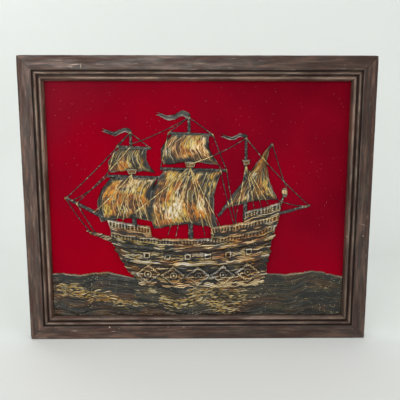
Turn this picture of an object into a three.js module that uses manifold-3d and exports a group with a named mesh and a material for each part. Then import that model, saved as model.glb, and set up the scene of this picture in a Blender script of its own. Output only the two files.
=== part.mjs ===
// Framed wall art: a sailing ship modelled in raised paste on a red velvet panel, in a mitred wooden frame.
// Millimetres. In the finished part +X is right, +Z is up and the picture faces -Y.
import * as THREE from "three";
import { mergeVertices } from "three/addons/utils/BufferGeometryUtils.js";
import Module from "manifold-3d";

const wasm = await Module();
wasm.setup();

// Driving dimensions of the frame and the panel
const FRAME_W = 578;
const FRAME_H = 475;
const FRAME_T = 22;
const RAIL_W = 39;
const MITRE_GAP = 0.3;
const RABBET_W = 5;
const RABBET_Z = 8;
const BOARD_W = 508;
const BOARD_H = 405;
const BOARD_T = 4;
const VELVET_T = 1;

// Driving dimensions of the rail's moulding, across the rail from its outer edge
const OUTER_ROUND = 2.5;
const BAND_END = 23.2;
const GROOVE_W = 1.6;
const OUTER_BEAD = { start: 24.8, end: 30, foot: 18.2, crown: 2.6 };
const INNER_BEAD = { start: 31.4, end: 38.2, foot: 15.6, crown: 3 };
const BEAD_STEPS = 10;
const ROUND_STEPS = 5;

// Driving dimensions of the hanger, a bent steel strip with a toothed lower edge
const HANGER_L = 62;
const HANGER_W = 13;
const HANGER_T = 1;
const HANGER_TAB = 11;
const HANGER_BEND = 4;
const HANGER_RISE = 2;
const HANGER_TEETH = 11;
const TOOTH_W = 2.6;
const TOOTH_H = 2.2;

// Driving dimensions of the relief, in the panel's plane with its centre as zero and heights off the velvet
const SEA_MARGIN = 1;
const SEA_LEVEL = -131;
const SEA_SWELL = 8;
const SEA_SWELL_LENGTH = 370;
const SEA_CREST_AT = -190;
const SEA_CHOP = 2.5;
const SEA_CHOP_LENGTH = 90;
const SEA_BODY = 2.2;
const CREST_HEIGHT = 2;
const CREST_SPACING = 12;
const KEEL_Y = -150;
const KEEL_ROCKER = 6;
const STEM_X = -98;
const STEM_FLARE = 50;
const STERN_X = 112;
const STERN_RAKE = 22;
const WAIST_Y = -64;
const WAIST_AT = 0.42;
const BOW_RISE = 14;
const STERN_RISE = 26;
const HULL_RIM = 3.2;
const HULL_BELLY = 4.6;
const STRAKES = 7;
const STRAKE_RIDGE = 0.9;
const PLANK_W = 6;
const RAIL_LIFT = 2;
const SAIL_RIM = 1.6;
const SAIL_BELLY = 4.8;
const SAIL_FOLDS = 4;
const FOLD_DEPTH = 0.7;
const SPAR_SIDES = 10;
const SINK = 1.5;
const SLIVER = 0.04;

const VELVET_Z = RABBET_Z;
const SIGHT_W = FRAME_W - 2 * RAIL_W;
const SIGHT_H = FRAME_H - 2 * RAIL_W;

// Finishes
const finish = (color, roughness, metalness) =>
  new THREE.MeshStandardMaterial({ color, roughness, metalness });
const stainedWood = finish(0x55483f, 0.55, 0);
const hardboard = finish(0x6b4a30, 0.8, 0);
const redVelvet = finish(0x86071f, 0.95, 0);
const bronzedPaste = finish(0x6e5a34, 0.5, 0.35);
const steel = finish(0x9a9488, 0.4, 0.9);

// Solids to and from the boolean library
function solidOf(geometry) {
  const bare = new THREE.BufferGeometry();
  bare.setAttribute("position", geometry.getAttribute("position"));
  bare.setIndex(geometry.index);
  const merged = mergeVertices(bare, 1e-4);
  return new wasm.Manifold(
    new wasm.Mesh({
      numProp: 3,
      vertProperties: new Float32Array(merged.getAttribute("position").array),
      triVerts: new Uint32Array(merged.index.array),
    }),
  );
}

function geometryOf(solid) {
  const { vertProperties, triVerts } = solid.getMesh();
  const geometry = new THREE.BufferGeometry();
  geometry.setAttribute("position", new THREE.BufferAttribute(vertProperties, 3));
  geometry.setIndex(new THREE.BufferAttribute(triVerts, 1));
  geometry.computeVertexNormals();
  return geometry;
}

const joined = (solids) => solids.reduce((all, next) => all.add(next));

function namedMesh(name, geometry, material) {
  const mesh = new THREE.Mesh(geometry, material);
  mesh.name = name;
  return mesh;
}

// The rail's section: x runs from the outer edge to the sight edge, y from the wall to the front
function railSection() {
  const shape = new THREE.Shape();
  shape.moveTo(0, 0);
  shape.lineTo(0, FRAME_T - OUTER_ROUND);
  for (let i = 1; i <= ROUND_STEPS; i++) {
    const angle = ((i / ROUND_STEPS) * Math.PI) / 2;
    shape.lineTo(
      OUTER_ROUND * (1 - Math.cos(angle)),
      FRAME_T - OUTER_ROUND * (1 - Math.sin(angle)),
    );
  }
  shape.lineTo(BAND_END, FRAME_T);
  for (const bead of [OUTER_BEAD, INNER_BEAD]) {
    shape.lineTo(bead.start - GROOVE_W / 2, bead.foot);
    for (let i = 0; i <= BEAD_STEPS; i++) {
      const along = i / BEAD_STEPS;
      shape.lineTo(
        bead.start + along * (bead.end - bead.start),
        bead.foot + bead.crown * Math.sin(along * Math.PI),
      );
    }
  }
  shape.lineTo(RAIL_W, INNER_BEAD.foot - GROOVE_W / 2);
  shape.lineTo(RAIL_W, RABBET_Z);
  shape.lineTo(RAIL_W - RABBET_W, RABBET_Z);
  shape.lineTo(RAIL_W - RABBET_W, 0);
  shape.closePath();
  return shape;
}

// One rail along X with its outer edge on y = 0 and both ends cut to the mitre
function mitredRail(length) {
  const rail = new THREE.ExtrudeGeometry(railSection(), { depth: 1, bevelEnabled: false });
  const position = rail.getAttribute("position");
  for (let i = 0; i < position.count; i++) {
    const across = position.getX(i);
    const side = position.getZ(i) < 0.5 ? 1 : -1;
    const end = length / 2 - across - MITRE_GAP / 2;
    position.setXYZ(i, side * end, -across, position.getY(i));
  }
  return rail;
}

function frameRails() {
  const rails = new THREE.Group();
  const places = [
    { name: "frame_rail_top", length: FRAME_W, away: FRAME_H / 2, turn: 0 },
    { name: "frame_rail_left", length: FRAME_H, away: FRAME_W / 2, turn: Math.PI / 2 },
    { name: "frame_rail_bottom", length: FRAME_W, away: FRAME_H / 2, turn: Math.PI },
    { name: "frame_rail_right", length: FRAME_H, away: FRAME_W / 2, turn: -Math.PI / 2 },
  ];
  for (const { name, length, away, turn } of places) {
    const rail = namedMesh(name, mitredRail(length), stainedWood);
    rail.rotation.z = turn;
    rail.position.set(-away * Math.sin(turn), away * Math.cos(turn), 0);
    rails.add(rail);
  }
  return rails;
}

// The board that carries the picture, and the velvet glued to its face
function panel() {
  const group = new THREE.Group();
  const board = namedMesh(
    "backing_board",
    new THREE.BoxGeometry(BOARD_W, BOARD_H, BOARD_T),
    hardboard,
  );
  board.position.z = VELVET_Z - VELVET_T - BOARD_T / 2;
  const velvet = namedMesh(
    "velvet_cover",
    new THREE.BoxGeometry(BOARD_W, BOARD_H, VELVET_T),
    redVelvet,
  );
  velvet.position.z = VELVET_Z - VELVET_T / 2;
  group.add(board, velvet);
  return group;
}

// The hanger: a strip bent into a low bridge, so that a nail head fits behind its toothed edge
function hanger() {
  const half = HANGER_L / 2;
  const bendFrom = half - HANGER_TAB;
  const bendTo = bendFrom - HANGER_BEND;
  const line = [
    [-half, 0],
    [-bendFrom, 0],
    [-bendTo, -HANGER_RISE],
    [bendTo, -HANGER_RISE],
    [bendFrom, 0],
    [half, 0],
  ];
  const strip = new THREE.Shape();
  strip.moveTo(...line[0]);
  line.slice(1).forEach(([x, z]) => strip.lineTo(x, z));
  [...line].reverse().forEach(([x, z]) => strip.lineTo(x, z - HANGER_T));
  strip.closePath();
  const bar = new THREE.ExtrudeGeometry(strip, { depth: HANGER_W, bevelEnabled: false });
  bar.rotateX(Math.PI / 2);
  bar.translate(0, HANGER_W / 2, 0);
  // The section was drawn as x and z, so turning it about X leaves its depth along Y and its rise along Z.
  const teeth = [];
  for (let i = 0; i < HANGER_TEETH; i++) {
    const notch = new THREE.Shape();
    const middle = (i - (HANGER_TEETH - 1) / 2) * TOOTH_W;
    notch.moveTo(middle - TOOTH_W / 2 + 0.1, -HANGER_W / 2 - 1);
    notch.lineTo(middle + TOOTH_W / 2 - 0.1, -HANGER_W / 2 - 1);
    notch.lineTo(middle, -HANGER_W / 2 + TOOTH_H);
    const prism = new THREE.ExtrudeGeometry(notch, { depth: 4 * FRAME_T, bevelEnabled: false });
    prism.translate(0, 0, -2 * FRAME_T);
    teeth.push(solidOf(prism));
  }
  const toothed = solidOf(bar).subtract(joined(teeth));
  return namedMesh("sawtooth_hanger", geometryOf(toothed), steel);
}

// A closed piece of relief over a curved four-sided outline: s runs right, t runs up, height is off the velvet
function reliefPatch(columns, rows, outline, height) {
  const position = [];
  const index = [];
  for (const lift of [height, () => -SINK]) {
    for (let j = 0; j <= rows; j++) {
      for (let i = 0; i <= columns; i++) {
        const s = i / columns;
        const t = j / rows;
        position.push(...outline(s, t), VELVET_Z + lift(s, t));
      }
    }
  }
  const row = columns + 1;
  const layer = row * (rows + 1);
  const quad = (a, b, c, d) => index.push(a, b, c, a, c, d);
  for (let j = 0; j < rows; j++) {
    for (let i = 0; i < columns; i++) {
      const a = j * row + i;
      quad(a, a + 1, a + row + 1, a + row);
      quad(layer + a, layer + a + row, layer + a + row + 1, layer + a + 1);
    }
  }
  const rim = [];
  for (let i = 0; i < columns; i++) rim.push(i);
  for (let j = 0; j < rows; j++) rim.push(j * row + columns);
  for (let i = columns; i > 0; i--) rim.push(rows * row + i);
  for (let j = rows; j > 0; j--) rim.push(j * row);
  rim.forEach((a, i) => {
    const b = rim[(i + 1) % rim.length];
    quad(layer + a, layer + b, b, a);
  });
  const geometry = new THREE.BufferGeometry();
  geometry.setAttribute("position", new THREE.Float32BufferAttribute(position, 3));
  geometry.setIndex(index);
  return solidOf(geometry);
}

const mix = (a, b, t) => a + (b - a) * t;
const wave = (x, length) => Math.sin((2 * Math.PI * x) / length);
const bell = (t) => Math.sin(Math.PI * Math.min(1, Math.max(0, t)));

// A spar: a tapered round bar laid half into the panel, from one point to another
function spar([x0, y0], [x1, y1], r0, r1) {
  const length = Math.hypot(x1 - x0, y1 - y0);
  const bar = new THREE.CylinderGeometry(r1, r0, length, SPAR_SIDES);
  bar.rotateZ(Math.atan2(y1 - y0, x1 - x0) - Math.PI / 2);
  bar.translate((x0 + x1) / 2, (y0 + y1) / 2, VELVET_Z);
  return solidOf(bar);
}

// The sea: one band of paste along the foot of the panel, with crests that follow the swell
const seaTop = (x) =>
  SEA_LEVEL +
  SEA_SWELL * Math.cos((2 * Math.PI * (x - SEA_CREST_AT)) / SEA_SWELL_LENGTH) +
  SEA_CHOP * wave(x, SEA_CHOP_LENGTH);

function sea() {
  const half = SIGHT_W / 2 - SEA_MARGIN;
  const foot = -SIGHT_H / 2 + SEA_MARGIN;
  const outline = (s, t) => {
    const x = mix(-half, half, s);
    return [x, mix(foot, seaTop(x), t)];
  };
  const height = (s, t) => {
    const [x, y] = outline(s, t);
    const below = seaTop(x) - y;
    const phase = below / CREST_SPACING + 0.5 * wave(x, 170) + 0.25 * wave(x + 10, 61);
    const crest = (0.5 + 0.5 * Math.cos(2 * Math.PI * phase)) ** 2;
    return SEA_BODY + CREST_HEIGHT * crest * (0.6 + 0.4 * wave(x + 3 * y, 140));
  };
  return reliefPatch(50, 18, outline, height);
}

// The hull, bow at the left: s runs from stem to stern, t from keel to rail
const stemX = (t) => STEM_X - STEM_FLARE * Math.sin((t * Math.PI) / 2);
const sternX = (t) => STERN_X + STERN_RAKE * t;
const keelY = (s) => KEEL_Y + KEEL_ROCKER * (2 * s - 1) ** 2;
const sheerY = (s) =>
  s < WAIST_AT
    ? WAIST_Y + BOW_RISE * (1 - s / WAIST_AT) ** 2
    : WAIST_Y + STERN_RISE * ((s - WAIST_AT) / (1 - WAIST_AT)) ** 2;
const hullPoint = (s, t) => [mix(stemX(t), sternX(t), s), mix(keelY(s), sheerY(s), t)];
const hullHeight = (s, t) =>
  HULL_RIM +
  HULL_BELLY * bell(0.12 + 0.76 * t) * bell(0.06 + 0.88 * s) ** 0.4 +
  STRAKE_RIDGE * Math.abs(Math.sin(STRAKES * Math.PI * t));

const hull = () => reliefPatch(24, 2 * STRAKES, hullPoint, hullHeight);

// A raised strip along the hull at a constant share of its depth, such as a wale or a top rail
const WALES = [
  { at: 0.5, width: 0.05 },
  { at: 0.8, width: 0.05 },
  { at: 0.985, width: 0.045 },
];
function wale({ at, width }) {
  const outline = (s, t) => hullPoint(mix(-0.01, 1.01, s), at + (t - 0.5) * width);
  const height = (s, t) => hullHeight(s, at) + RAIL_LIFT * (0.5 + 0.5 * bell(t));
  return reliefPatch(26, 3, outline, height);
}

// A castle: a raised deck built on the sheer between two shares of the hull's length
const CASTLES = [
  { from: 0, to: 0.25, base: 0, rise: 19, lean: -5, depth: 6 },
  { from: 0.6, to: 1, base: 0, rise: 17, lean: 4, depth: 6.2 },
  { from: 0.79, to: 1, base: 17, rise: 36, lean: 8, depth: 5.2 },
];
const castlePoint = ({ from, to, base, rise, lean }, s, t) => {
  const along = mix(from, to, s);
  const [x, y] = hullPoint(along, 1);
  const up = mix(base - 1, rise, t);
  return [x + (lean * Math.abs(2 * along - 1) * up) / rise, y + up];
};
function castle(place) {
  const { base, rise, depth } = place;
  const planks = (rise - base) / PLANK_W;
  const outline = (s, t) => castlePoint(place, s, t);
  const height = (s, t) => depth + STRAKE_RIDGE * Math.abs(Math.sin(planks * Math.PI * t));
  const rail = (s, t) => castlePoint(place, mix(-0.03, 1.03, s), 0.93 + 0.14 * t);
  return reliefPatch(8, 8, outline, height).add(
    reliefPatch(8, 2, rail, (s, t) => depth + RAIL_LIFT + 0.6 * bell(t)),
  );
}

// A gun port: a square frame raised round a sunk shutter
const PORT_SIZE = 11;
const PORT_FRAME = 2.2;
const PORT_AT = 0.655;
const PORT_SHARES = [0.2, 0.33, 0.46, 0.59, 0.72, 0.85];
function gunPort(share) {
  const [x, y] = hullPoint(share, PORT_AT);
  const [x2, y2] = hullPoint(share + 0.05, PORT_AT);
  const front = hullHeight(share, PORT_AT) + 1.4;
  const block = (size, low, high) => {
    const box = new THREE.BoxGeometry(size, size, high - low);
    box.rotateZ(Math.atan2(y2 - y, x2 - x));
    box.translate(x, y, VELVET_Z + (low + high) / 2);
    return solidOf(box);
  };
  const frame = block(PORT_SIZE, 0, front);
  const sunk = block(PORT_SIZE - 2 * PORT_FRAME, front - 2.4, front + 1);
  return { frame, sunk };
}

// A square sail bellied towards the bow: corners of the head and foot, and how far the leeches bow out
const SAILS = [
  { head: [-146, -68, 42], foot: [-164, -74, -34], bow: 14, drop: 6 },
  { head: [-130, -84, 91], foot: [-146, -72, 49], bow: 11, drop: 4 },
  { head: [-56, 40, 54], foot: [-74, 34, -46], bow: 17, drop: 7 },
  { head: [-42, 18, 113], foot: [-58, 36, 62], bow: 12, drop: 5 },
];
function squareSail({ head, foot, bow, drop }) {
  const outline = (s, t) => {
    const left = mix(foot[0], head[0], t) - bow * bell(t);
    const right = mix(foot[1], head[1], t) - 0.6 * bow * bell(t);
    const hang = drop * bell(s) * (1 - t);
    return [mix(left, right, s), mix(foot[2], head[2], t) + hang];
  };
  return reliefPatch(16, 6, outline, sailHeight);
}
function sailHeight(s, t) {
  const belly = bell(s) ** 0.6 * (0.35 + 0.65 * bell(0.1 + 0.6 * t));
  const fold = Math.abs(Math.sin(SAIL_FOLDS * Math.PI * s));
  return SAIL_RIM + SAIL_BELLY * belly + FOLD_DEPTH * fold * bell(0.15 + 0.7 * t);
}

// The three-cornered mizzen sail, set on a slanting yard
const MIZZEN_SAIL = { tack: [43, -13], peak: [119, 91], clew: [136, 3], bow: 10, peakWidth: 3 };
function mizzenSail() {
  const { tack, peak, clew, bow, peakWidth } = MIZZEN_SAIL;
  const outline = (s, t) => {
    const luff = [mix(tack[0], peak[0] - peakWidth, t), mix(tack[1], peak[1], t)];
    const leech = [mix(clew[0], peak[0], t) - bow * bell(t), mix(clew[1], peak[1], t)];
    return [mix(luff[0], leech[0], s), mix(luff[1], leech[1], s) + 5 * bell(s) * (1 - t)];
  };
  return reliefPatch(12, 8, outline, sailHeight);
}

// Masts, yards, bowsprit and boomkin as end points and end radii
const SPARS = [
  { from: [-108, -40], to: [-112, 120], r: [4.2, 2.2] },
  { from: [-12, -74], to: [-15, 146], r: [4.8, 2.4] },
  { from: [80, -34], to: [80, 112], r: [4, 2] },
  { from: [-128, -42], to: [-224, 8], r: [4.4, 2.2] },
  { from: [124, -24], to: [190, -6], r: [3.2, 1.8] },
  { from: [-152, 44], to: [-62, 41], r: [2.6, 2.6] },
  { from: [-136, 93], to: [-78, 90], r: [2.4, 2.4] },
  { from: [-63, 56], to: [48, 53], r: [2.8, 2.8] },
  { from: [-49, 115], to: [25, 112], r: [2.5, 2.5] },
  { from: [35, -24], to: [124, 98], r: [2.8, 2] },
];

// A fighting top: a small basket on the mast
const TOPS = [
  { x: -110, y: 47, w: 17 },
  { x: -13, y: 59, w: 20 },
  { x: 80, y: 62, w: 14 },
];
function fightingTop({ x, y, w }) {
  const outline = (s, t) => [x + (s - 0.5) * w * (0.65 + 0.35 * t), y + 9 * t];
  return reliefPatch(6, 4, outline, (s, t) => 5 + 2.2 * bell(s) + 0.6 * (t > 0.7 ? 1 : 0));
}

// A pennant streaming from a mast head, waving and forked at its free end
const PENNANTS = [
  { x: -111, y: 117, length: 48, hoist: 9 },
  { x: -14, y: 143, length: 56, hoist: 10 },
  { x: 80, y: 109, length: 42, hoist: 8 },
];
function pennant({ x, y, length, hoist }) {
  const outline = (s, t) => {
    const out = 1 - s;
    const fork = 1 - 0.16 * out * (1 - Math.abs(2 * t - 1));
    const droop = 0.06 * length * wave(out * length, 0.8 * length);
    return [x - length * out * fork, y + droop + (t - 0.5) * hoist * (1 - 0.45 * out)];
  };
  return reliefPatch(14, 4, outline, (s, t) => 1.4 + 1.3 * bell(0.1 + 0.8 * t) + 0.5 * wave(s, 0.4));
}

// The beak under the bowsprit and the stern lantern
const BEAK = { root: [-146, -66], tip: [-190, -48], depth: 13 };
function beak() {
  const { root, tip, depth } = BEAK;
  const outline = (s, t) => {
    const out = 1 - s;
    const x = mix(root[0] + 8, tip[0], out);
    const middle = mix(root[1], tip[1], out ** 1.3);
    return [x, middle + (t - 0.5) * depth * (1 - 0.75 * out)];
  };
  return reliefPatch(10, 6, outline, (s, t) => 2.6 + 1.8 * bell(t) * (0.4 + 0.6 * s));
}
const LANTERN = { foot: [137, -8], head: [146, 16], r: 5.5 };
function lantern() {
  const { foot, head, r } = LANTERN;
  const lamp = new THREE.SphereGeometry(r, 12, 8);
  lamp.scale(0.8, 1.25, 0.9);
  lamp.translate(head[0], head[1], VELVET_Z);
  return spar(foot, head, 2.2, 1.8).add(solidOf(lamp));
}

function shipAndSea() {
  const ports = PORT_SHARES.map(gunPort);
  const solids = [
    sea(),
    hull(),
    ...WALES.map(wale),
    ...CASTLES.map(castle),
    ...SPARS.map(({ from, to, r }) => spar(from, to, ...r)),
    ...SAILS.map(squareSail),
    mizzenSail(),
    ...TOPS.map(fightingTop),
    ...PENNANTS.map(pennant),
    beak(),
    lantern(),
    ...ports.map(({ frame }) => frame),
  ];
  const whole = joined(solids).subtract(joined(ports.map(({ sunk }) => sunk)));
  return namedMesh(
    "ship_and_sea_relief",
    geometryOf(whole.trimByPlane([0, 0, 1], VELVET_Z).simplify(SLIVER)),
    bronzedPaste,
  );
}

// The picture is drawn upright with the wall at z = 0, then stood up with the hanger's back at the origin
const HANGER_Y = FRAME_H / 2 - RAIL_W / 2;
const picture = new THREE.Group();
const hangerMesh = hanger();
hangerMesh.position.y = HANGER_Y;
picture.add(frameRails(), panel(), shipAndSea(), hangerMesh);
picture.rotation.x = Math.PI / 2;
picture.position.set(0, -(HANGER_RISE + HANGER_T), -HANGER_Y);

const part = new THREE.Group();
part.add(picture);

export default part;
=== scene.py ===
# %% [markdown]
# # A ship in raised paste on red velvet, framed to hang
#
# The real thing is a hand-made wall picture. A board is covered with red velvet, a ship and a sea are
# modelled on it in thick paste, painted nearly black and brushed with gold, and a dark mitred moulding goes
# round it. The solids of the frame, board, velvet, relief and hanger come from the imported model. This lesson
# dresses them: it makes the fine moulding, the pile, the brush strokes and the finishes, in the same place
# and size.

import math

import bpy
import numpy as np
from mathutils.bvhtree import BVHTree
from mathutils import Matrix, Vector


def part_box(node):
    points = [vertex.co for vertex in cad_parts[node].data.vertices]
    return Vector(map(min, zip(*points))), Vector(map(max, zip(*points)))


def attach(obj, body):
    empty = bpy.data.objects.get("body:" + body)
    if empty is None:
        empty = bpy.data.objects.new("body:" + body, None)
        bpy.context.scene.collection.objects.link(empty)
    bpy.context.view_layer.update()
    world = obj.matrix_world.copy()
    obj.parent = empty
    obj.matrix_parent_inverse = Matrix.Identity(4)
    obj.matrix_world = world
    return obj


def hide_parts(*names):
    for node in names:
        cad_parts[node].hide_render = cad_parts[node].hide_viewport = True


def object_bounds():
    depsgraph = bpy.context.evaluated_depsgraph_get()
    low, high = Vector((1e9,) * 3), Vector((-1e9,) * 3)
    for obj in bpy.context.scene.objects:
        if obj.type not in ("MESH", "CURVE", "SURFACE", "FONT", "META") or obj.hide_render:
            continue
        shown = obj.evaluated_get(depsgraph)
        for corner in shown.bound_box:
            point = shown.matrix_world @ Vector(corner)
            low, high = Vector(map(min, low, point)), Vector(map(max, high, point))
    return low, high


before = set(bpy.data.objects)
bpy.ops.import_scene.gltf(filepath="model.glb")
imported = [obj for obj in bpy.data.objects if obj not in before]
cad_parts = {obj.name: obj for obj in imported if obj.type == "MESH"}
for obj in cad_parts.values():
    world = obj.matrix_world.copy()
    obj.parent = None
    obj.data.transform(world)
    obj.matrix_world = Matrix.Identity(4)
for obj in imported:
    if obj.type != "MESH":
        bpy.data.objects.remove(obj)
cad_box = [list(corner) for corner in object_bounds()]
print("solids:", sorted(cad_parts), "box in metres:", cad_box)

# %% [markdown]
# ## One set of coordinates for the picture
#
# A maker measures a picture on its face: so far right of the middle, so far up, so far off the velvet. All
# the relief below is written that way, in millimetres, and one function turns it into metres in the shared
# frame. The velvet's own solid says where the middle and the face are.

# %% Panel coordinates
MM = 0.001
velvet_low, velvet_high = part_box("velvet_cover")
PANEL_W = (velvet_high.x - velvet_low.x) / MM
PANEL_H = (velvet_high.z - velvet_low.z) / MM
PANEL_Z = (velvet_low.z + velvet_high.z) / 2
VELVET_Y = velvet_low.y
VELVET_T = (velvet_high.y - velvet_low.y) / MM


def on_panel(x, y, lift):
    """Millimetres right of the middle, up, and off the velvet, as metres in the shared frame."""
    x, y, lift = np.broadcast_arrays(x, y, lift)
    return np.stack([x * MM, VELVET_Y - lift * MM, PANEL_Z + y * MM], axis=-1)


print(f"panel {PANEL_W:.0f} x {PANEL_H:.0f} mm, face at y = {VELVET_Y:.4f} m")

# %% [markdown]
# ## Colours and nodes
#
# Every colour is written as the hex value that a colour picker shows, and one function turns it to the
# linear numbers that a shader works in. One more function adds a node with its settings and its links and
# hands back its output, so that a material or a geometry tree reads as a list of what it is made of. Blender
# calls its nodes ShaderNodeMath or GeometryNodeTransform, and the function puts that first part on. Sums,
# ranges, ramps, mixes and noises come up so often that each has a short function of its own.

# %% Helpers for colours, nodes and objects
NODE_FAMILIES = ("ShaderNode", "GeometryNode", "FunctionNode", "")
MIX_A, MIX_B, MIXED = 6, 7, 2  # a Mix node's colours, which come after its numbers and vectors


def linear(hex_colour):
    """An sRGB hex colour as linear red, green, blue and alpha."""
    values = [int(hex_colour[i : i + 2], 16) / 255 for i in (1, 3, 5)]
    return [v / 12.92 if v <= 0.04045 else ((v + 0.055) / 1.055) ** 2.4 for v in values] + [1.0]


def fill(node, inputs):
    """Give a node's sockets, named or in order, their values or links to the outputs of other nodes."""
    for name, value in inputs.items() if isinstance(inputs, dict) else enumerate(inputs):
        if isinstance(value, bpy.types.NodeSocket):
            node.id_data.links.new(value, node.inputs[name])
        else:
            node.inputs[name].default_value = value


def add(tree, kind, inputs=(), stops=(), take=0, **settings):
    """Add a node with its settings, sockets and ramp, and give one output, or all where take is None."""
    family = next(name for name in NODE_FAMILIES if hasattr(bpy.types, name + kind))
    node = tree.nodes.new(family + kind)
    for name, value in settings.items():
        setattr(node, name, value)
    fill(node, inputs)
    for i, (place, colour) in enumerate(stops):
        if i >= len(node.color_ramp.elements):
            node.color_ramp.elements.new(place)
        node.color_ramp.elements[i].position = place
        node.color_ramp.elements[i].color = linear(colour)
    return node.outputs if take is None else node.outputs[take]


def maths(tree, operation, *values, **settings):
    """A number worked out from others."""
    return add(tree, "Math", values, operation=operation, **settings)


def remap(tree, value, *ends):
    """A number moved from one low and high end to another two, and held there."""
    return add(tree, "MapRange", (value, *ends))


def ramp(tree, value, stops):
    """A colour that follows a number."""
    return add(tree, "ValToRGB", [value], stops)


def blend(tree, share, under, over, how="MIX"):
    """A colour with a share of another laid over it."""
    colours = {0: share, MIX_A: under, MIX_B: over}
    return add(tree, "Mix", colours, take=MIXED, data_type="RGBA", blend_type=how)


def noise_of(tree, place, size, detail, roughness=0.5):
    """A random field with about one bump per size, in the units of the place."""
    field = {"Vector": place, "Scale": 1 / size, "Detail": detail, "Roughness": roughness}
    return add(tree, "TexNoise", field)


def new_material(name):
    """A material with its node tree and its main shader."""
    material = bpy.data.materials.new(name)
    material.use_nodes = True
    return material, material.node_tree, material.node_tree.nodes["Principled BSDF"]


def new_object(name, data, *materials):
    """An object that shows a mesh with its materials, or holds a lamp or a camera."""
    for material in materials:
        data.materials.append(material)
    made = bpy.data.objects.new(name, data)
    bpy.context.scene.collection.objects.link(made)
    return made


def smooth(mesh, sharp=None):
    """Shade a mesh smooth, apart from edges that turn by more than the sharp angle."""
    mesh.shade_smooth()
    if sharp:
        mesh.set_sharp_from_angle(angle=sharp)


def new_mesh(name, points, faces, edges=()):
    """A mesh from points in metres."""
    mesh = bpy.data.meshes.new(name)
    mesh.from_pydata(np.asarray(points).tolist(), list(edges), faces)
    mesh.update()
    return mesh


def keep(piece, slot, *nodes):
    """Tie a finished piece to the object and hide the solids that it stands for. The slot is not used."""
    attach(piece, "root")
    if nodes:
        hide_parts(*nodes)
    print(f"{piece.name}: {len(piece.data.vertices)} points, {len(piece.data.polygons)} faces")


# %% [markdown]
# ## Camera, floor and light
#
# The camera stands a little above the picture's middle, close enough that the top rail looks wider than the
# bottom one. The four outer corners of the frame fix its place, tilt and lens. The floor curves up into a
# pale wall that stands well behind the picture, so the back can be seen too, and large soft lights do the
# rest.

# %% The camera
LENS_PIXELS = 430.0
IMAGE_PIXELS = 400.0
SENSOR_MM = 36.0
CAMERA_PLACE = (-0.003, -0.7316, -0.1188)
CAMERA_DOWN = math.radians(7.574)
CAMERA_TURN = math.radians(-0.5)

camera_data = bpy.data.cameras.new("camera")
camera_data.sensor_width = SENSOR_MM
camera_data.lens = SENSOR_MM * LENS_PIXELS / IMAGE_PIXELS
camera = new_object("camera", camera_data)
camera.location = CAMERA_PLACE
camera.rotation_euler = (math.pi / 2 - CAMERA_DOWN, 0, CAMERA_TURN)
bpy.context.scene.camera = camera
bpy.context.scene.view_settings.view_transform = "Standard"
print(f"lens {camera_data.lens:.1f} mm")

# %% Floor and wall
WALL_BEHIND = 0.9
COVE_RADIUS = 0.35
COVE_STEPS = 24
FLOOR_Z = cad_box[0][2]
FLOOR_FRONT = -4.0
STAGE_HALF = 4.0
WALL_TOP = 2.2

cove = [(FLOOR_FRONT, 0.0)]
for i in range(COVE_STEPS + 1):
    angle = i / COVE_STEPS * math.pi / 2
    cove.append((WALL_BEHIND - COVE_RADIUS * (1 - math.sin(angle)), COVE_RADIUS * (1 - math.cos(angle))))
cove.append((WALL_BEHIND, WALL_TOP))
stage_points = [(x, y, FLOOR_Z + z) for y, z in cove for x in (-STAGE_HALF, STAGE_HALF)]
stage_faces = [(2 * i, 2 * i + 1, 2 * i + 3, 2 * i + 2) for i in range(len(cove) - 1)]

# A matt painted backdrop has next to no gloss.
backdrop, _, shader = new_material("matt_backdrop")
fill(shader, {"Base Color": linear("#ebeeeb"), "Roughness": 0.9, "Specular IOR Level": 0.2})
stage_mesh = new_mesh("floor_and_wall", stage_points, stage_faces)
smooth(stage_mesh)
new_object("floor_and_wall", stage_mesh, backdrop)
print("floor at", round(FLOOR_Z, 4), "wall at", WALL_BEHIND)

# %% Soft studio light
SOFT_LIGHTS = [
    {"name": "window", "place": (-0.45, -1.9, 0.55), "aim": (0, 0, -0.25), "size": 1.35, "watts": 17.5},
    {"name": "ceiling", "place": (0.0, -0.7, 2.4), "aim": (0, -0.65, -0.45), "size": 2.0, "watts": 25},
    {"name": "left_fill", "place": (-1.8, -1.35, 0.25), "aim": (-0.1, 0, -0.3), "size": 1.2, "watts": 9.5},
    {"name": "right_fill", "place": (1.8, -1.45, 0.25), "aim": (0.2, 0, -0.3), "size": 1.4, "watts": 15},
    {"name": "back_fill", "place": (-0.9, 0.8, 0.7), "aim": (0, 0, -0.2), "size": 0.8, "watts": 3},
]
for light in SOFT_LIGHTS:
    lamp = bpy.data.lights.new(light["name"], "AREA")
    lamp.size = light["size"]
    lamp.energy = light["watts"]
    lamp_object = new_object(light["name"], lamp)
    lamp_object.visible_glossy = not light["name"].endswith("fill")
    lamp_object.visible_camera = False
    lamp_object.location = light["place"]
    towards = np.subtract(light["aim"], light["place"])
    tilt = math.atan2(math.hypot(towards[0], towards[1]), -towards[2])
    lamp_object.rotation_euler = (tilt, 0, math.atan2(towards[1], towards[0]) - math.pi / 2)

world = bpy.data.worlds.new("white_room")
world.use_nodes = True
fill(world.node_tree.nodes["Background"], {"Color": linear("#f4f7f6"), "Strength": 0.265})
bpy.context.scene.world = world
print(len(SOFT_LIGHTS), "soft lights")

# %% [markdown]
# ## Running a geometry tree
#
# A rail, a thread of rigging, a nail and a bit of lint are all one small shape that follows a path or comes
# back many times. Geometry Nodes are made for that. Each tree below names its sizes as inputs. The last
# function here sets those inputs, runs the tree on a host mesh and keeps the result as a plain mesh.

# %% Helpers for geometry trees
SOCKET_KINDS = {float: "NodeSocketFloat", int: "NodeSocketInt"}


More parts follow.
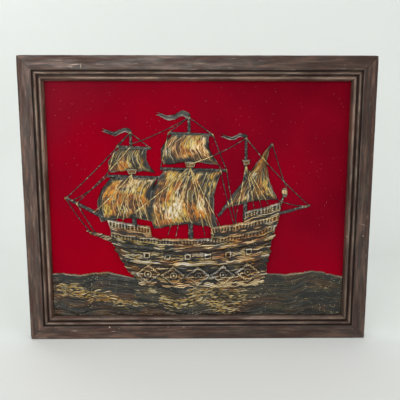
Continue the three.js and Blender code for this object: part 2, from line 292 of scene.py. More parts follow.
def new_tree(name, **sizes):
    """A geometry tree with a host mesh, a finish and named sizes as its inputs."""
    made = bpy.data.node_groups.new(name, "GeometryNodeTree")
    made.interface.new_socket("Host", in_out="INPUT", socket_type="NodeSocketGeometry")
    made.interface.new_socket("Finish", in_out="INPUT", socket_type="NodeSocketMaterial")
    for size, value in sizes.items():
        socket = made.interface.new_socket(size, in_out="INPUT", socket_type=SOCKET_KINDS[type(value)])
        socket.default_value = value
    made.interface.new_socket("Result", in_out="OUTPUT", socket_type="NodeSocketGeometry")
    return made, add(made, "NodeGroupInput", take=None)


def close_tree(made, geometry, finish):
    """End a tree as every one here ends: real geometry with its material."""
    real = add(made, "RealizeInstances", {"Geometry": geometry})
    dressed = add(made, "SetMaterial", {"Geometry": real, "Material": finish})
    add(made, "NodeGroupOutput", {"Result": dressed}, take=None)
    print(len(made.nodes), "nodes in", made.name)


def grown(name, host, made, **values):
    """The plain mesh that a tree makes from a host mesh."""
    host_object = new_object(name + "_host", host)
    modifier = host_object.modifiers.new(made.name, "NODES")
    modifier.node_group = made
    for item in made.interface.items_tree:
        if item.name in values:
            modifier[item.identifier] = values[item.name]
    evaluated = host_object.evaluated_get(bpy.context.evaluated_depsgraph_get())
    mesh = bpy.data.meshes.new_from_object(evaluated)
    mesh.name = name
    mesh.materials.clear()
    mesh.materials.append(values["Finish"])
    mesh.polygons.foreach_set("material_index", np.zeros(len(mesh.polygons), dtype=np.int32))
    bpy.data.objects.remove(host_object)
    return mesh


print("geometry trees run on host meshes")

# %% [markdown]
# ## The frame
#
# The moulding is a bought length of wood: a flat band, two beads that step down to the picture, and a rabbet
# at the back that holds the board. Four lengths are cut at 45 degrees, glued, and stained dark. A section
# swept along a line says all of that, so a tree does the sweep and cuts the mitres by drawing the ends in by
# as much as each point lies from the outer edge. A noise adds slight dents.

# %% The moulding's section
rail_low, rail_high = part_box("frame_rail_top")
RAIL_W = (rail_high.z - rail_low.z) / MM
RAIL_T = (rail_high.y - rail_low.y) / MM
WALL_SIDE_Y = rail_high.y
RABBET_W = 5.0
RABBET_Z = (WALL_SIDE_Y - VELVET_Y) / MM
OUTER_ROUND = 2.5
BAND_END = 23.2
GROOVE_W = 1.6
BEADS = [
    {"start": 24.8, "end": 30.0, "foot": 18.2, "crown": 2.6},
    {"start": 31.4, "end": 38.2, "foot": 15.6, "crown": 3.0},
]
CURVE_STEPS = 12
SECTION_STEP = 0.9
EASING_ROUNDS = 2


def moulding_corners():
    """The section's corners in millimetres: across from the outer edge, and up from the wall."""
    corners = [(0.0, 0.0), (0.0, RAIL_T - OUTER_ROUND)]
    for i in range(1, CURVE_STEPS + 1):
        angle = i / CURVE_STEPS * math.pi / 2
        across = OUTER_ROUND * (1 - math.cos(angle))
        corners.append((across, RAIL_T - OUTER_ROUND * (1 - math.sin(angle))))
    corners.append((BAND_END, RAIL_T))
    for bead in BEADS:
        corners.append((bead["start"] - GROOVE_W / 2, bead["foot"]))
        for i in range(CURVE_STEPS + 1):
            share = i / CURVE_STEPS
            across = bead["start"] + share * (bead["end"] - bead["start"])
            corners.append((across, bead["foot"] + bead["crown"] * math.sin(share * math.pi)))
    corners.append((RAIL_W, BEADS[-1]["foot"] - GROOVE_W / 2))
    corners += [(RAIL_W, RABBET_Z), (RAIL_W - RABBET_W, RABBET_Z), (RAIL_W - RABBET_W, 0.0)]
    return np.array(corners)


def eased_section():
    """The section with even steps and slightly worn corners, as a closed line in metres."""
    corners = moulding_corners()
    points = []
    for start, end in zip(corners, np.roll(corners, -1, axis=0)):
        steps = max(1, round(np.linalg.norm(end - start) / SECTION_STEP))
        points += [start + (end - start) * i / steps for i in range(steps)]
    points = np.array(points)
    for _ in range(EASING_ROUNDS):
        points = 0.5 * points + 0.25 * (np.roll(points, 1, axis=0) + np.roll(points, -1, axis=0))
    return np.column_stack([points, np.zeros(len(points))]) * MM


section = eased_section()
section_edges = [(i, (i + 1) % len(section)) for i in range(len(section))]
print(len(section), "points in the moulding's section")

# %% The tree that sweeps and mitres a rail
DENT_SCALE = 70.0

tree, given = new_tree("mitred_rail", Length=0.5, Spacing=0.005, Dent=0.0002, Seed=1.0)
place = add(tree, "SeparateXYZ", [add(tree, "InputPosition")], take=None)
profile = add(tree, "MeshToCurve", {"Mesh": given["Host"]})
for name, axis in [("across", "X"), ("up", "Y")]:
    profile = add(tree, "StoreNamedAttribute", {"Geometry": profile, "Name": name, "Value": place[axis]})
half = maths(tree, "MULTIPLY", given["Length"], 0.5)
other = maths(tree, "MULTIPLY", half, -1.0)
ends = {name: add(tree, "CombineXYZ", {"X": end}) for name, end in [("Start", other), ("End", half)]}
line = add(tree, "CurvePrimitiveLine", ends)
line = add(tree, "ResampleCurve", {"Curve": line, "Length": given["Spacing"]}, mode="LENGTH")
line = add(tree, "StoreNamedAttribute", {"Geometry": line, "Name": "along", "Value": place["X"]})
rail = add(tree, "CurveToMesh", {"Curve": line, "Profile Curve": profile, "Fill Caps": True})
along, across, up = (add(tree, "InputNamedAttribute", {"Name": name}) for name in ("along", "across", "up"))
inward = maths(tree, "DIVIDE", across, half)
kept = maths(tree, "SUBTRACT", 1.0, inward)
cut = maths(tree, "MULTIPLY", along, kept)
down = maths(tree, "MULTIPLY", across, -1.0)
mitred = add(tree, "CombineXYZ", [cut, down, up])
rail = add(tree, "SetPosition", {"Geometry": rail, "Position": mitred})
shifted = maths(tree, "ADD", cut, given["Seed"])
grain = add(tree, "CombineXYZ", [shifted, across, up])
rail = add(
    tree,
    "StoreNamedAttribute",
    {"Geometry": rail, "Name": "grain", "Value": grain},
    data_type="FLOAT_VECTOR",
)
to_end = maths(tree, "ABSOLUTE", along)
to_end = maths(tree, "SUBTRACT", half, to_end)
rail = add(tree, "StoreNamedAttribute", {"Geometry": rail, "Name": "joint", "Value": to_end})
dents = add(
    tree, "TexNoise", {"W": given["Seed"], "Scale": DENT_SCALE, "Detail": 3.0}, noise_dimensions="4D"
)
depth = remap(tree, dents, 0.3, 0.7, -1.0, 0.4)
depth = maths(tree, "MULTIPLY", depth, given["Dent"])
push = add(tree, "VectorMath", {0: add(tree, "InputNormal"), "Scale": depth}, operation="SCALE")
rail = add(tree, "SetPosition", {"Geometry": rail, "Offset": push})
close_tree(tree, rail, given["Finish"])
rail_tree = tree

# %% [markdown]
# ## Stained wood
#
# The wood is an open-grained softwood under a dark brown stain, rubbed by years of dusting. The grain runs
# along each rail, so the material reads the "grain" attribute that the sweep stored: metres along, across
# and up. Streaks are a few millimetres wide and a finger long. Stain pools in the grooves and is worn off
# the crowns of the beads, and both follow the distance across. A few scrapes down to bare wood have their
# own places. The wood is painted lighter up and to the left, as a painted sheen from the window. The mitres
# have opened by a hair, which the "joint" attribute tells, and the back was never stained, which the
# distance up tells.

# %% Where the stain is thick and where it is gone
GROOVE_AT = [BAND_END + 0.8, BEADS[1]["start"] - 0.7]
CLEAN, GRIMY = "#ffffff", "#5a5048"
STAINED, RUBBED = "#000000", "#f4f4f4"
GRIME_STOPS = [
    (GROOVE_AT[0] - 1.5, CLEAN),
    (GROOVE_AT[0], GRIMY),
    (GROOVE_AT[0] + 1.5, CLEAN),
    (GROOVE_AT[1] - 1.3, CLEAN),
    (GROOVE_AT[1], GRIMY),
    (GROOVE_AT[1] + 1.4, "#fff0e6"),
    (0.965 * RAIL_W, "#f6e6dc"),
    (RAIL_W, "#e2d8cd"),
]
RUB_STOPS = [(0.0, "#8a8a8a"), (0.05 * RAIL_W, STAINED)]
for bead, reach in zip(BEADS, (2.4, 3.0)):
    crown = (bead["start"] + bead["end"]) / 2
    RUB_STOPS += [(crown - reach, STAINED), (crown, RUBBED), (crown + reach, STAINED)]
RUB_STOPS.append((RAIL_W, "#a0a0a0"))
SCRAPES = [  # place on the panel and half sizes in millimetres, tilt in degrees, bareness
    ((-195.5, 222.6), (10.5, 1.0), -4, 0.65),
    ((-186.4, 220.6), (1.0, 4.6), 0, 0.65),
    ((-203.0, 219.3), (4.0, 1.3), 20, 0.4),
    ((-152.5, -215.8), (2.0, 1.6), 30, 0.95),
    ((-146.0, -223.5), (6.5, 0.8), -2, 0.5),
    ((-52.0, -215.8), (1.5, 1.0), 0, 0.55),
    ((-25.0, -215.6), (3.2, 0.9), 0, 0.55),
    ((277.5, -56.0), (1.7, 1.7), 0, 0.8),
    ((277.0, -37.0), (8.5, 0.9), 19, 0.45),
    ((252.0, -58.0), (1.0, 2.0), 0, 0.95),
]
print(len(SCRAPES), "scrapes")

# %% Stained wood
STREAK, PORE, PATCH, NICK = (0.045, 0.003), (0.016, 0.0011), (0.06, 0.011), (0.03, 0.0024)
DRIP_MM = 30.0
WINDOW_WAY = (-1.0, 0.0, 0.5)  # up and to the left

stained_wood, tree, shader = new_material("stained_softwood")
grain_place = add(tree, "Attribute", take="Vector", attribute_name="grain")
grains = []
for size_long, size_wide in (STREAK, PORE, PATCH, NICK):
    squeeze = (1 / size_long, 1 / size_wide, 1 / size_wide)
    drawn_out = add(tree, "Mapping", {"Vector": grain_place, "Scale": squeeze})
    grains.append(noise_of(tree, drawn_out, size=1.0, detail=5.0, roughness=0.6))
streaks, pores, patches, nicks = grains
stain_stops = [(0.34, "#140a06"), (0.45, "#2d1c12"), (0.55, "#4a3024"), (0.66, "#755746")]
bloom_stops = [(0.38, "#3a1d13"), (0.46, "#402920"), (0.54, "#463c35"), (0.62, "#705345")]
stain = ramp(tree, streaks, stain_stops)
bloom = ramp(tree, patches, bloom_stops)
wood = blend(tree, 0.55, stain, bloom)
across_up = add(tree, "SeparateXYZ", [grain_place], take=None)
share = maths(tree, "MULTIPLY", across_up["Y"], 1 / (RAIL_W * MM))
grime = ramp(tree, share, [(at / RAIL_W, colour) for at, colour in GRIME_STOPS])
wood = blend(tree, 1.0, wood, grime, "MULTIPLY")
rubbed = ramp(tree, share, [(at / RAIL_W, colour) for at, colour in RUB_STOPS])
worn = remap(tree, pores, 0.36, 0.66, 0.15, 0.85)
worn = maths(tree, "MULTIPLY", worn, rubbed)
handled = remap(tree, patches, 0.4, 0.58, 0.3, 1.1)
worn = maths(tree, "MULTIPLY", worn, handled)
nicked = remap(tree, nicks, 0.64, 0.73, 0.0, 0.6)
worn = maths(tree, "MAXIMUM", worn, nicked)
object_place = add(tree, "TexCoord", take="Object")
for (right, upward), (half_right, half_up), tilt, bareness in SCRAPES:
    scrape = {
        "Vector": object_place,
        "Location": (right * MM, 0, PANEL_Z + upward * MM),
        "Rotation": (0, math.radians(tilt), 0),
        "Scale": (half_right * MM, 1, half_up * MM),
    }
    from_middle = add(tree, "Mapping", scrape, vector_type="TEXTURE")
    reach = add(tree, "VectorMath", [from_middle], take="Value", operation="LENGTH")
    reach = maths(tree, "ADD", reach, pores)
    scraped = remap(tree, reach, 1.0, 1.5, bareness, 0.0)
    worn = maths(tree, "MAXIMUM", worn, scraped)
wood = blend(tree, worn, wood, linear("#ae9886"))
drip = add(tree, "TexVoronoi", {"Vector": grain_place, "Scale": 1 / (DRIP_MM * MM)}, take="Distance")
drip = remap(tree, drip, 0.012, 0.028, 0.8, 0.0)
wood = blend(tree, drip, wood, linear("#b5a58f"))
# Painted light: the wood is made lighter up and to the left, a painted sheen from the window.
painted_window_sheen = add(tree, "VectorMath", [object_place, WINDOW_WAY], take="Value", operation="DOT_PRODUCT")
painted_window_sheen = remap(tree, painted_window_sheen, -0.5, 0.3, 0.74, 1.18)
wood = blend(tree, 1.0, wood, painted_window_sheen, "MULTIPLY")
open_joint = add(tree, "Attribute", take="Fac", attribute_name="joint")
open_joint = remap(tree, open_joint, 0.0003, 0.0014, 0.5, 0.0)
wood = blend(tree, open_joint, wood, linear("#140d09"))
back_side = remap(tree, across_up["Z"], 0.0006, 0.0014, 0.85, 0.0)
raw_stops = [(0.34, "#7d5f3c"), (0.5, "#a58660"), (0.66, "#c2a57c")]
raw_wood = ramp(tree, streaks, raw_stops)
wood = blend(tree, back_side, wood, raw_wood)
waxed = remap(tree, patches, 0.38, 0.62, 0.56, 0.3)
open_grain = add(tree, "Bump", {"Strength": 0.25, "Distance": 0.0004, "Height": pores})
fill(shader, {"Base Color": wood, "Roughness": waxed, "Specular IOR Level": 0.5, "Normal": open_grain})
print("wood streaks", STREAK[1] / MM, "mm wide")

# %% The four rails
RAIL_STEP = 0.005
DENT = 0.00022
CORNER_ROUND = 0.004
RAIL_SHARP = math.radians(42)
FRAME_W = cad_box[1][0] - cad_box[0][0]
FRAME_H = cad_box[1][2] - cad_box[0][2]
RAILS = [
    {"name": "top", "length": FRAME_W, "away": FRAME_H / 2, "turn": 0.0, "seed": 1.7},
    {"name": "left", "length": FRAME_H, "away": FRAME_W / 2, "turn": math.pi / 2, "seed": 4.3},
    {"name": "bottom", "length": FRAME_W, "away": FRAME_H / 2, "turn": math.pi, "seed": 7.9},
    {"name": "right", "length": FRAME_H, "away": FRAME_W / 2, "turn": -math.pi / 2, "seed": 11.2},
]


def point_array(mesh):
    """A mesh's points as an array."""
    points = np.empty(3 * len(mesh.vertices), dtype=np.float32)
    mesh.vertices.foreach_get("co", points)
    return points.reshape(-1, 3)


def face_outwards(mesh):
    """Turn a closed mesh the right way out if its volume reads as negative."""
    mesh.calc_loop_triangles()
    corners = np.empty(3 * len(mesh.loop_triangles), dtype=np.int32)
    mesh.loop_triangles.foreach_get("vertices", corners)
    a, b, c = point_array(mesh).astype(np.float64)[corners.reshape(-1, 3)].transpose(1, 0, 2)
    if np.einsum("ij,ij->i", a, np.cross(b, c)).sum() < 0:
        mesh.flip_normals()


def worn_corner(right, upward):
    """Points of the frame with its four outer corners knocked round."""
    past_x = np.maximum(np.abs(right) - (FRAME_W / 2 - CORNER_ROUND), 0)
    past_y = np.maximum(np.abs(upward) - (FRAME_H / 2 - CORNER_ROUND), 0)
    pull = 1 - 1 / np.maximum(np.hypot(past_x, past_y) / CORNER_ROUND, 1)
    return right - np.sign(right) * past_x * pull, upward - np.sign(upward) * past_y * pull


for rail in RAILS:
    name = "rail_" + rail["name"]
    sizes = {"Length": rail["length"], "Spacing": RAIL_STEP, "Dent": DENT, "Seed": rail["seed"]}
    host = new_mesh("section", section, [], section_edges)
    mesh = grown(name, host, rail_tree, Finish=stained_wood, **sizes)
    flat = point_array(mesh)
    turn_x, turn_y = math.cos(rail["turn"]), math.sin(rail["turn"])
    right = turn_x * flat[:, 0] - turn_y * (flat[:, 1] + rail["away"])
    upward = turn_y * flat[:, 0] + turn_x * (flat[:, 1] + rail["away"])
    right, upward = worn_corner(right, upward)
    stood = np.column_stack([right, WALL_SIDE_Y - flat[:, 2], PANEL_Z + upward])
    mesh.vertices.foreach_set("co", stood.astype(np.float32).ravel())
    face_outwards(mesh)
    smooth(mesh, RAIL_SHARP)
    keep(new_object(name, mesh), "stained_wood", "frame_" + name)

# %% [markdown]
# ## Paste, laid on with a small knife
#
# The relief is thick paste: a body a few millimetres high, rows of short strokes on it, and a rounded rim
# where it meets the pile. A fine grid over a four-sided outline gives all that: the outline is the drawing,
# the lift is the modelling, and a few numbers kept at each point say how the brush later caught it. Strokes
# are rows of cells with a random number each, so no stroke is drawn by hand.

# %% Random fields and strokes
LATTICE = 128


def mix(a, b, t):
    """A share t of the way from a to b."""
    return a + (b - a) * t


def step(value, low, high):
    """A smooth step from 0 at low to 1 at high."""
    share = np.clip((value - low) / (high - low), 0, 1)
    return share * share * (3 - 2 * share)


def bell(t):
    """Half a sine wave over 0 to 1."""
    return np.sin(np.pi * np.clip(t, 0, 1))


def wave(x, length):
    """A sine wave of a given length."""
    return np.sin(2 * np.pi * x / length)


def soft_noise(u, v, seed):
    """A smooth random field from 0 to 1 with about one bump per unit."""
    lattice = np.random.default_rng(seed).random((LATTICE, LATTICE))
    i, j = np.floor(u).astype(int), np.floor(v).astype(int)
    du, dv = u - i, v - j
    du, dv = du * du * (3 - 2 * du), dv * dv * (3 - 2 * dv)
    i0, j0, i1, j1 = i % LATTICE, j % LATTICE, (i + 1) % LATTICE, (j + 1) % LATTICE
    low = lattice[i0, j0] * (1 - du) + lattice[i1, j0] * du
    high = lattice[i0, j1] * (1 - du) + lattice[i1, j1] * du
    return low * (1 - dv) + high * dv


def strokes(along, across, length, width, seed):
    """Wandering rows of strokes: the ridge, its sharp crest, and how freely it was laid, all 0 to 1."""
    bend = soft_noise(along / (1.7 * length), across / (5 * width), seed)
    row = across / width + 1.7 * bend
    nearest = np.round(row)
    aside = row - nearest
    flow = soft_noise(along / length + 5.3 * nearest, 0.37 * nearest + 0.5, seed + 1)
    ridge = np.cos(np.pi * aside) * (0.2 + 0.8 * step(flow, 0.25, 0.6))
    crest = np.exp(-((aside / 0.2) ** 2)) * step(flow, 0.48, 0.72)
    return ridge, crest, flow


test_ridge, _, _ = strokes(np.linspace(0, 30, 5), np.linspace(0, 5, 5), length=12, width=3, seed=1)
print("ridges along a test line:", test_ridge.round(2))

# %% A closed cushion of paste
RIM_ROUND, RIM_DROP = 2.0, 0.75
SINK = 0.4
RAGGED = [(9.0, 2.2), (3.2, 1.3)]  # wave length and reach of each waver
SIGHT_W = (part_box("frame_rail_top")[1].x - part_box("frame_rail_top")[0].x) / MM - 2 * RAIL_W
SIGHT_H = (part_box("frame_rail_left")[1].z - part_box("frame_rail_left")[0].z) / MM - 2 * RAIL_W
SIGHT_GAP, TRIMMED = 0.2, 4.0
EDGE_BRUSH, EDGE_AT, EDGE_WIDE, EDGE_PATCH = 0.4, 1.1, 0.8, 13
PASTE_SHARP = math.radians(60)
BRUSHED = ("gilding", "highlight", "shade", "warmth", "glitter")


def edge_distance(x, y):
    """Roughly how far each grid point lies from the outline, in millimetres."""
    nearest = np.inf
    for axis in (1, 0):
        run = np.cumsum(np.hypot(np.diff(x, axis=axis), np.diff(y, axis=axis)), axis=axis)
        run = np.concatenate([np.zeros_like(np.take(run, [0], axis=axis)), run], axis=axis)
        nearest = np.minimum(nearest, np.minimum(run, np.take(run, [-1], axis=axis) - run))
    return nearest


def freedom(x, y):
    """1 where the paste ends as it likes, and 0 where the frame's lip trims it."""
    return step(np.minimum(SIGHT_W / 2 - np.abs(x), SIGHT_H / 2 - np.abs(y)), SIGHT_GAP, TRIMMED)


def ragged(x, y):
    """Points moved a little, as paste never follows a line."""
    free = freedom(x, y)
    moved_x, moved_y = x, y
    for i, (length, reach) in enumerate(RAGGED):
        moved_x = moved_x + free * reach * (soft_noise(x / length, y / length, 201 + i) - 0.5)
        moved_y = moved_y + free * reach * (soft_noise(x / length + 40, y / length, 211 + i) - 0.5)
    return moved_x, moved_y


def grid_faces(shape):
    """The quads of a grid of points and the ring of points round it, as point numbers."""
    grid = np.arange(shape[0] * shape[1]).reshape(shape)
    quads = np.stack([grid[:-1, :-1], grid[:-1, 1:], grid[1:, 1:], grid[1:, :-1]], axis=-1)
    ring = np.concatenate([grid[0, :-1], grid[:-1, -1], grid[-1, :0:-1], grid[:0:-1, 0]])
    return quads.reshape(-1, 4), ring


def store(mesh, name, values):
    """Keep one number at each point of a mesh."""
    mesh.attributes.new(name, "FLOAT", "POINT").data.foreach_set("value", np.float32(values))


def paste(columns, rows, outline, modelling, rim=RIM_ROUND):
    """Points, faces and brush numbers of one closed cushion of paste on the velvet."""
    s, t = np.meshgrid(np.linspace(0, 1, columns + 1), np.linspace(0, 1, rows + 1))
    x, y = outline(s, t)
    lift, brushed = modelling(s, t, x, y)
    x, y = ragged(x, y)
    from_edge = edge_distance(x, y)
    inside = np.clip(from_edge / rim, 0, 1)
    lift = lift * (1 - RIM_DROP * freedom(x, y) * (1 - np.sqrt(inside * (2 - inside))))
    quads, ring = grid_faces(x.shape)
    foot = x.size + np.arange(len(ring))
    walls = np.stack([foot, np.roll(foot, -1), np.roll(ring, -1), ring], axis=-1)
    faces = quads.tolist() + walls.tolist() + [foot[::-1].tolist()]
    front = on_panel(x, y, lift).reshape(-1, 3)
    back = on_panel(x, y, -SINK).reshape(-1, 3)[ring]
    touched = freedom(x, y) * step(soft_noise(x / EDGE_PATCH, y / EDGE_PATCH, 221), 0.4, 0.65)
    touched = touched * np.exp(-(((from_edge - EDGE_AT) / EDGE_WIDE) ** 2))
    brushed["highlight"] = np.maximum(brushed.get("highlight", 0.0), EDGE_BRUSH * touched)
    numbers = {}
    for name in BRUSHED:
        value = np.clip(np.broadcast_to(brushed.get(name, 0.0), x.shape).ravel(), 0, 1)
        numbers[name] = np.concatenate([value, value[ring]])
    return np.concatenate([front, back]), faces, numbers


def paste_object(name, parts, *nodes):
    """Keep one piece of bronzed paste made of one or more cushions."""
    faces, start = [], 0
    for points, part_faces, _ in parts:
        faces += [[i + start for i in face] for face in part_faces]
        start += len(points)
    mesh = new_mesh(name, np.concatenate([points for points, _, _ in parts]), faces)
    for brush_name in BRUSHED:
        store(mesh, brush_name, np.concatenate([numbers[brush_name] for _, _, numbers in parts]))
    smooth(mesh, PASTE_SHARP)
    keep(new_object(name, mesh, bronzed_paste), "bronzed_paste", *nodes)


print("each cushion keeps", ", ".join(BRUSHED))

# %% [markdown]
# ## Bronzed paste
#
# Hardened paste is painted charcoal, toned with umber, and brushed while nearly dry with gold and then
# ivory, so the colour stays on the ridges and the dark stays in the hollows. The material mixes those coats
# by the numbers that each cushion keeps, broken up by a grain of about a millimetre. Gold dust glitters in
# patches and where a cushion asks for it, under a satin varnish.

# %% Bronzed paste
GRAIN_MM, CLOUD_MM, DUST_MM = 1.1, 14.0, 1.5
DUST_SHARE = 0.22

bronzed_paste, tree, shader = new_material("brushed_bronze_paste")
place = add(tree, "TexCoord", take="Object")
grit = noise_of(tree, place, GRAIN_MM * MM, detail=3.0, roughness=0.65)
cloud = noise_of(tree, place, CLOUD_MM * MM, detail=4.0, roughness=0.6)
brush = {name: add(tree, "Attribute", take="Fac", attribute_name=name) for name in BRUSHED}
ground = ramp(tree, cloud, [(0.35, "#1b1d1b"), (0.55, "#2a2b27"), (0.72, "#3b342b")])
yellow = ramp(tree, cloud, [(0.34, "#b98a2c"), (0.5, "#d8ae45"), (0.66, "#e8cf84")])
orange = ramp(tree, cloud, [(0.34, "#9c5314"), (0.5, "#cf7d1c"), (0.66, "#e3a238")])
warm = brush["warmth"]
coats = blend(tree, warm, ground, linear("#48301a"))
gold = blend(tree, warm, yellow, orange)
ivory = blend(tree, warm, linear("#e9e3d6"), linear("#f6e0ac"))
broken = remap(tree, grit, 0.3, 0.62, 0.55, 1.1)
for name, colour in [("gilding", gold), ("highlight", ivory), ("shade", linear("#0d0b09"))]:
    amount = maths(tree, "MULTIPLY", brush[name], broken, use_clamp=True)
    coats = blend(tree, amount, coats, colour)
dust = add(tree, "TexVoronoi", {"Vector": place, "Scale": 1 / (DUST_MM * MM)}, take=None)
lot = add(tree, "SeparateXYZ", [dust["Color"]], take=None)
size = remap(tree, lot["Y"], 0.0, 1.0, 0.08, 0.36)
within = maths(tree, "SUBTRACT", size, dust["Distance"])
speck = remap(tree, within, 0.0, 0.08, 0.0, 1.0)
lucky = maths(tree, "LESS_THAN", lot["X"], DUST_SHARE)
shines = maths(tree, "MULTIPLY", speck, lucky)
near_gold = remap(tree, cloud, 0.48, 0.6, 0.0, 0.9)
near_gold = maths(tree, "MAXIMUM", near_gold, brush["glitter"])
shines = maths(tree, "MULTIPLY", shines, near_gold)
coats = blend(tree, shines, coats, linear("#f0dfae"))
varnish = remap(tree, grit, 0.3, 0.7, 0.24, 0.5)
tooth = add(tree, "Bump", {"Strength": 0.5, "Distance": 0.0005, "Height": grit})
fill(shader, {"Base Color": coats, "Roughness": varnish, "Specular IOR Level": 0.4, "Normal": tooth})
print("paste grain", GRAIN_MM, "mm")

# %% [markdown]
# ## The sea
#
# A band of paste lies along the foot of the panel. Its top edge is a long swell with a little chop, its
# crests follow that edge, and strokes of the knife follow the crests. Gold and ivory flecks gather in drifts
# on it. To the right the sea is calmer, with lower crests and more glitter.

# %% The sea
SEA_LEVEL, SEA_SWELL, SEA_SWELL_LENGTH, SEA_CREST_AT = -131, 8, 370, -190
SEA_CHOP, SEA_CHOP_LENGTH = 2.5, 90
SEA_BODY, CREST_HEIGHT, CREST_SPACING = 2.0, 2.0, 12
LONG_WAVER, SHORT_WAVER = 170, 61
CALM_FROM, CALM_TO = 50, 170
SEA_GRID = (480, 120)


def sea_top(x):
    """Height of the sea's upper edge at a place across the panel."""
    swell = SEA_SWELL * np.cos(2 * np.pi * (x - SEA_CREST_AT) / SEA_SWELL_LENGTH)
    return SEA_LEVEL + swell + SEA_CHOP * wave(x, SEA_CHOP_LENGTH)


def sea_outline(s, t):
    x = (SIGHT_W - 2 * SIGHT_GAP) * (s - 0.5)
    return x, mix(SIGHT_GAP - SIGHT_H / 2, sea_top(x), t)


def sea_modelling(s, t, x, y):
    below = sea_top(x) - y
    long, short = wave(x, LONG_WAVER), wave(x + 10, SHORT_WAVER)
    phase = below / CREST_SPACING + 0.35 * long + 0.15 * short
    swell = (0.5 + 0.5 * np.cos(2 * np.pi * phase)) ** 2 * (0.6 + 0.4 * wave(x + 3 * y, 140))
    run = 0.8 * below - 0.2 * y + 3 * long + short
    ridge, crest, flow = strokes(x, run, length=26, width=3.1, seed=21)
    fine, glint, play = strokes(x + 3, run, length=5, width=1.5, seed=24)
    calm = step(x, CALM_FROM, CALM_TO)
    drift = soft_noise(x / 44 + 3, below / 12, 27) * bell(below / 64) ** 0.5 * (1 - 0.4 * calm)
    flecks = step(drift + 0.3 * (play - 0.5), 0.46, 0.68)
    scattered = step(soft_noise(x / 34 + 0.5, below / 30, 33) + 0.1 * calm, 0.55, 0.85)
    lift = SEA_BODY + CREST_HEIGHT * swell * (1 - 0.5 * calm)
    lift = lift + 0.8 * ridge * (1 - 0.4 * calm) + (0.3 + 0.5 * flecks) * fine
    rim = step(2.2 - below, 0, 1.2)
    umber = step(soft_noise(x / 42, below / 11, 29), 0.5, 0.75)
    hollow = 0.8 * (1 - step(ridge, 0.2, 0.7)) * (1 - 0.4 * calm)
    return lift, {
        "gilding": 1.1 * flecks * step(fine, 0.3, 0.8) + 0.12 * crest * flow,
        "highlight": 0.9 * flecks * glint * step(play, 0.6, 0.8) + 0.25 * rim,
        "shade": hollow + 0.6 * flecks * (1 - step(fine, 0.1, 0.5)),
        "warmth": 0.8 * umber * (1 - 0.7 * flecks) * (1 - 0.6 * calm) + 0.5 * rim,
        "glitter": scattered,
    }


paste_object("sea_of_paste", [paste(*SEA_GRID, sea_outline, sea_modelling)], "ship_and_sea_relief")

# %% [markdown]
# ## The hull
#
# The hull is one cushion between a curved stem, a raked stern, the keel and a sheer that rises to both ends.
# Planks, two wales, a top rail with posts, square gun ports and a row of roped lozenges are all lifts on the
# same grid. Fore and aft, higher decks stand on it in the same manner.

# %% The hull
KEEL_Y, KEEL_ROCKER = -150, 6
STEM_X, STEM_FLARE = -98, 50
STERN_X, STERN_RAKE = 112, 22
WAIST_Y, WAIST_AT, BOW_RISE, STERN_RISE = -64, 0.42, 14, 26
HULL_LENGTH, HULL_DEPTH, HULL_GRID = 270, 92, (420, 160)
HULL_RIM, HULL_BELLY = 3.2, 4.2
STRAKES, STRAKE_RIDGE = 7, 0.7
STROKE_OVERRUN, OVERRUN_SPACING = 6.0, 2.8
WALES = [(0.5, 0.05), (0.8, 0.05)]
PORT_SIZE, PORT_FRAME, PORT_AT = 11, 2.2, 0.655
PORT_SHARES = [0.2, 0.33, 0.46, 0.59, 0.72, 0.85]
LOZENGE_SHARES = [0.14, 0.32, 0.5, 0.68, 0.86]
LOZENGE_AT, LOZENGE_HALF_W, LOZENGE_HALF_H, BOSS_R = 0.265, 23, 18.5, 6.4
LOZENGE_ROPE, ROPE_TWIST = 2.4, 3.0
POST_SPACING = 5.2


def posts(along, seed):
    """A row of small posts, each a little out of line and with its own share of paint."""
    row = along / POST_SPACING + 0.35 * soft_noise(along / 7, 0 * along, seed)
    paint = soft_noise(np.floor(row) * 0.77 + 0.5, 0 * along + 0.5, seed + 1)
    return np.abs(np.sin(np.pi * row)) ** 1.3, paint


def sheer_y(s):
    """Height of the hull's upper edge at a share of its length."""
    fore = BOW_RISE * np.clip(1 - s / WAIST_AT, 0, None) ** 2
    aft = STERN_RISE * (np.clip(s - WAIST_AT, 0, None) / (1 - WAIST_AT)) ** 2
    return WAIST_Y + fore + aft


def hull_point(s, t):
    stem = STEM_X - STEM_FLARE * np.sin(t * np.pi / 2)
    stern = STERN_X + STERN_RAKE * t
    keel = KEEL_Y + KEEL_ROCKER * (2 * s - 1) ** 2
    loose = soft_noise(HULL_DEPTH * t / OVERRUN_SPACING, 5 * s, 39) - 0.5
    overrun = STROKE_OVERRUN * np.abs(2 * s - 1) ** 8 * loose
    return mix(stem, stern, s) + overrun * (1 - step(t, 0.85, 0.95)), mix(keel, sheer_y(s), t)


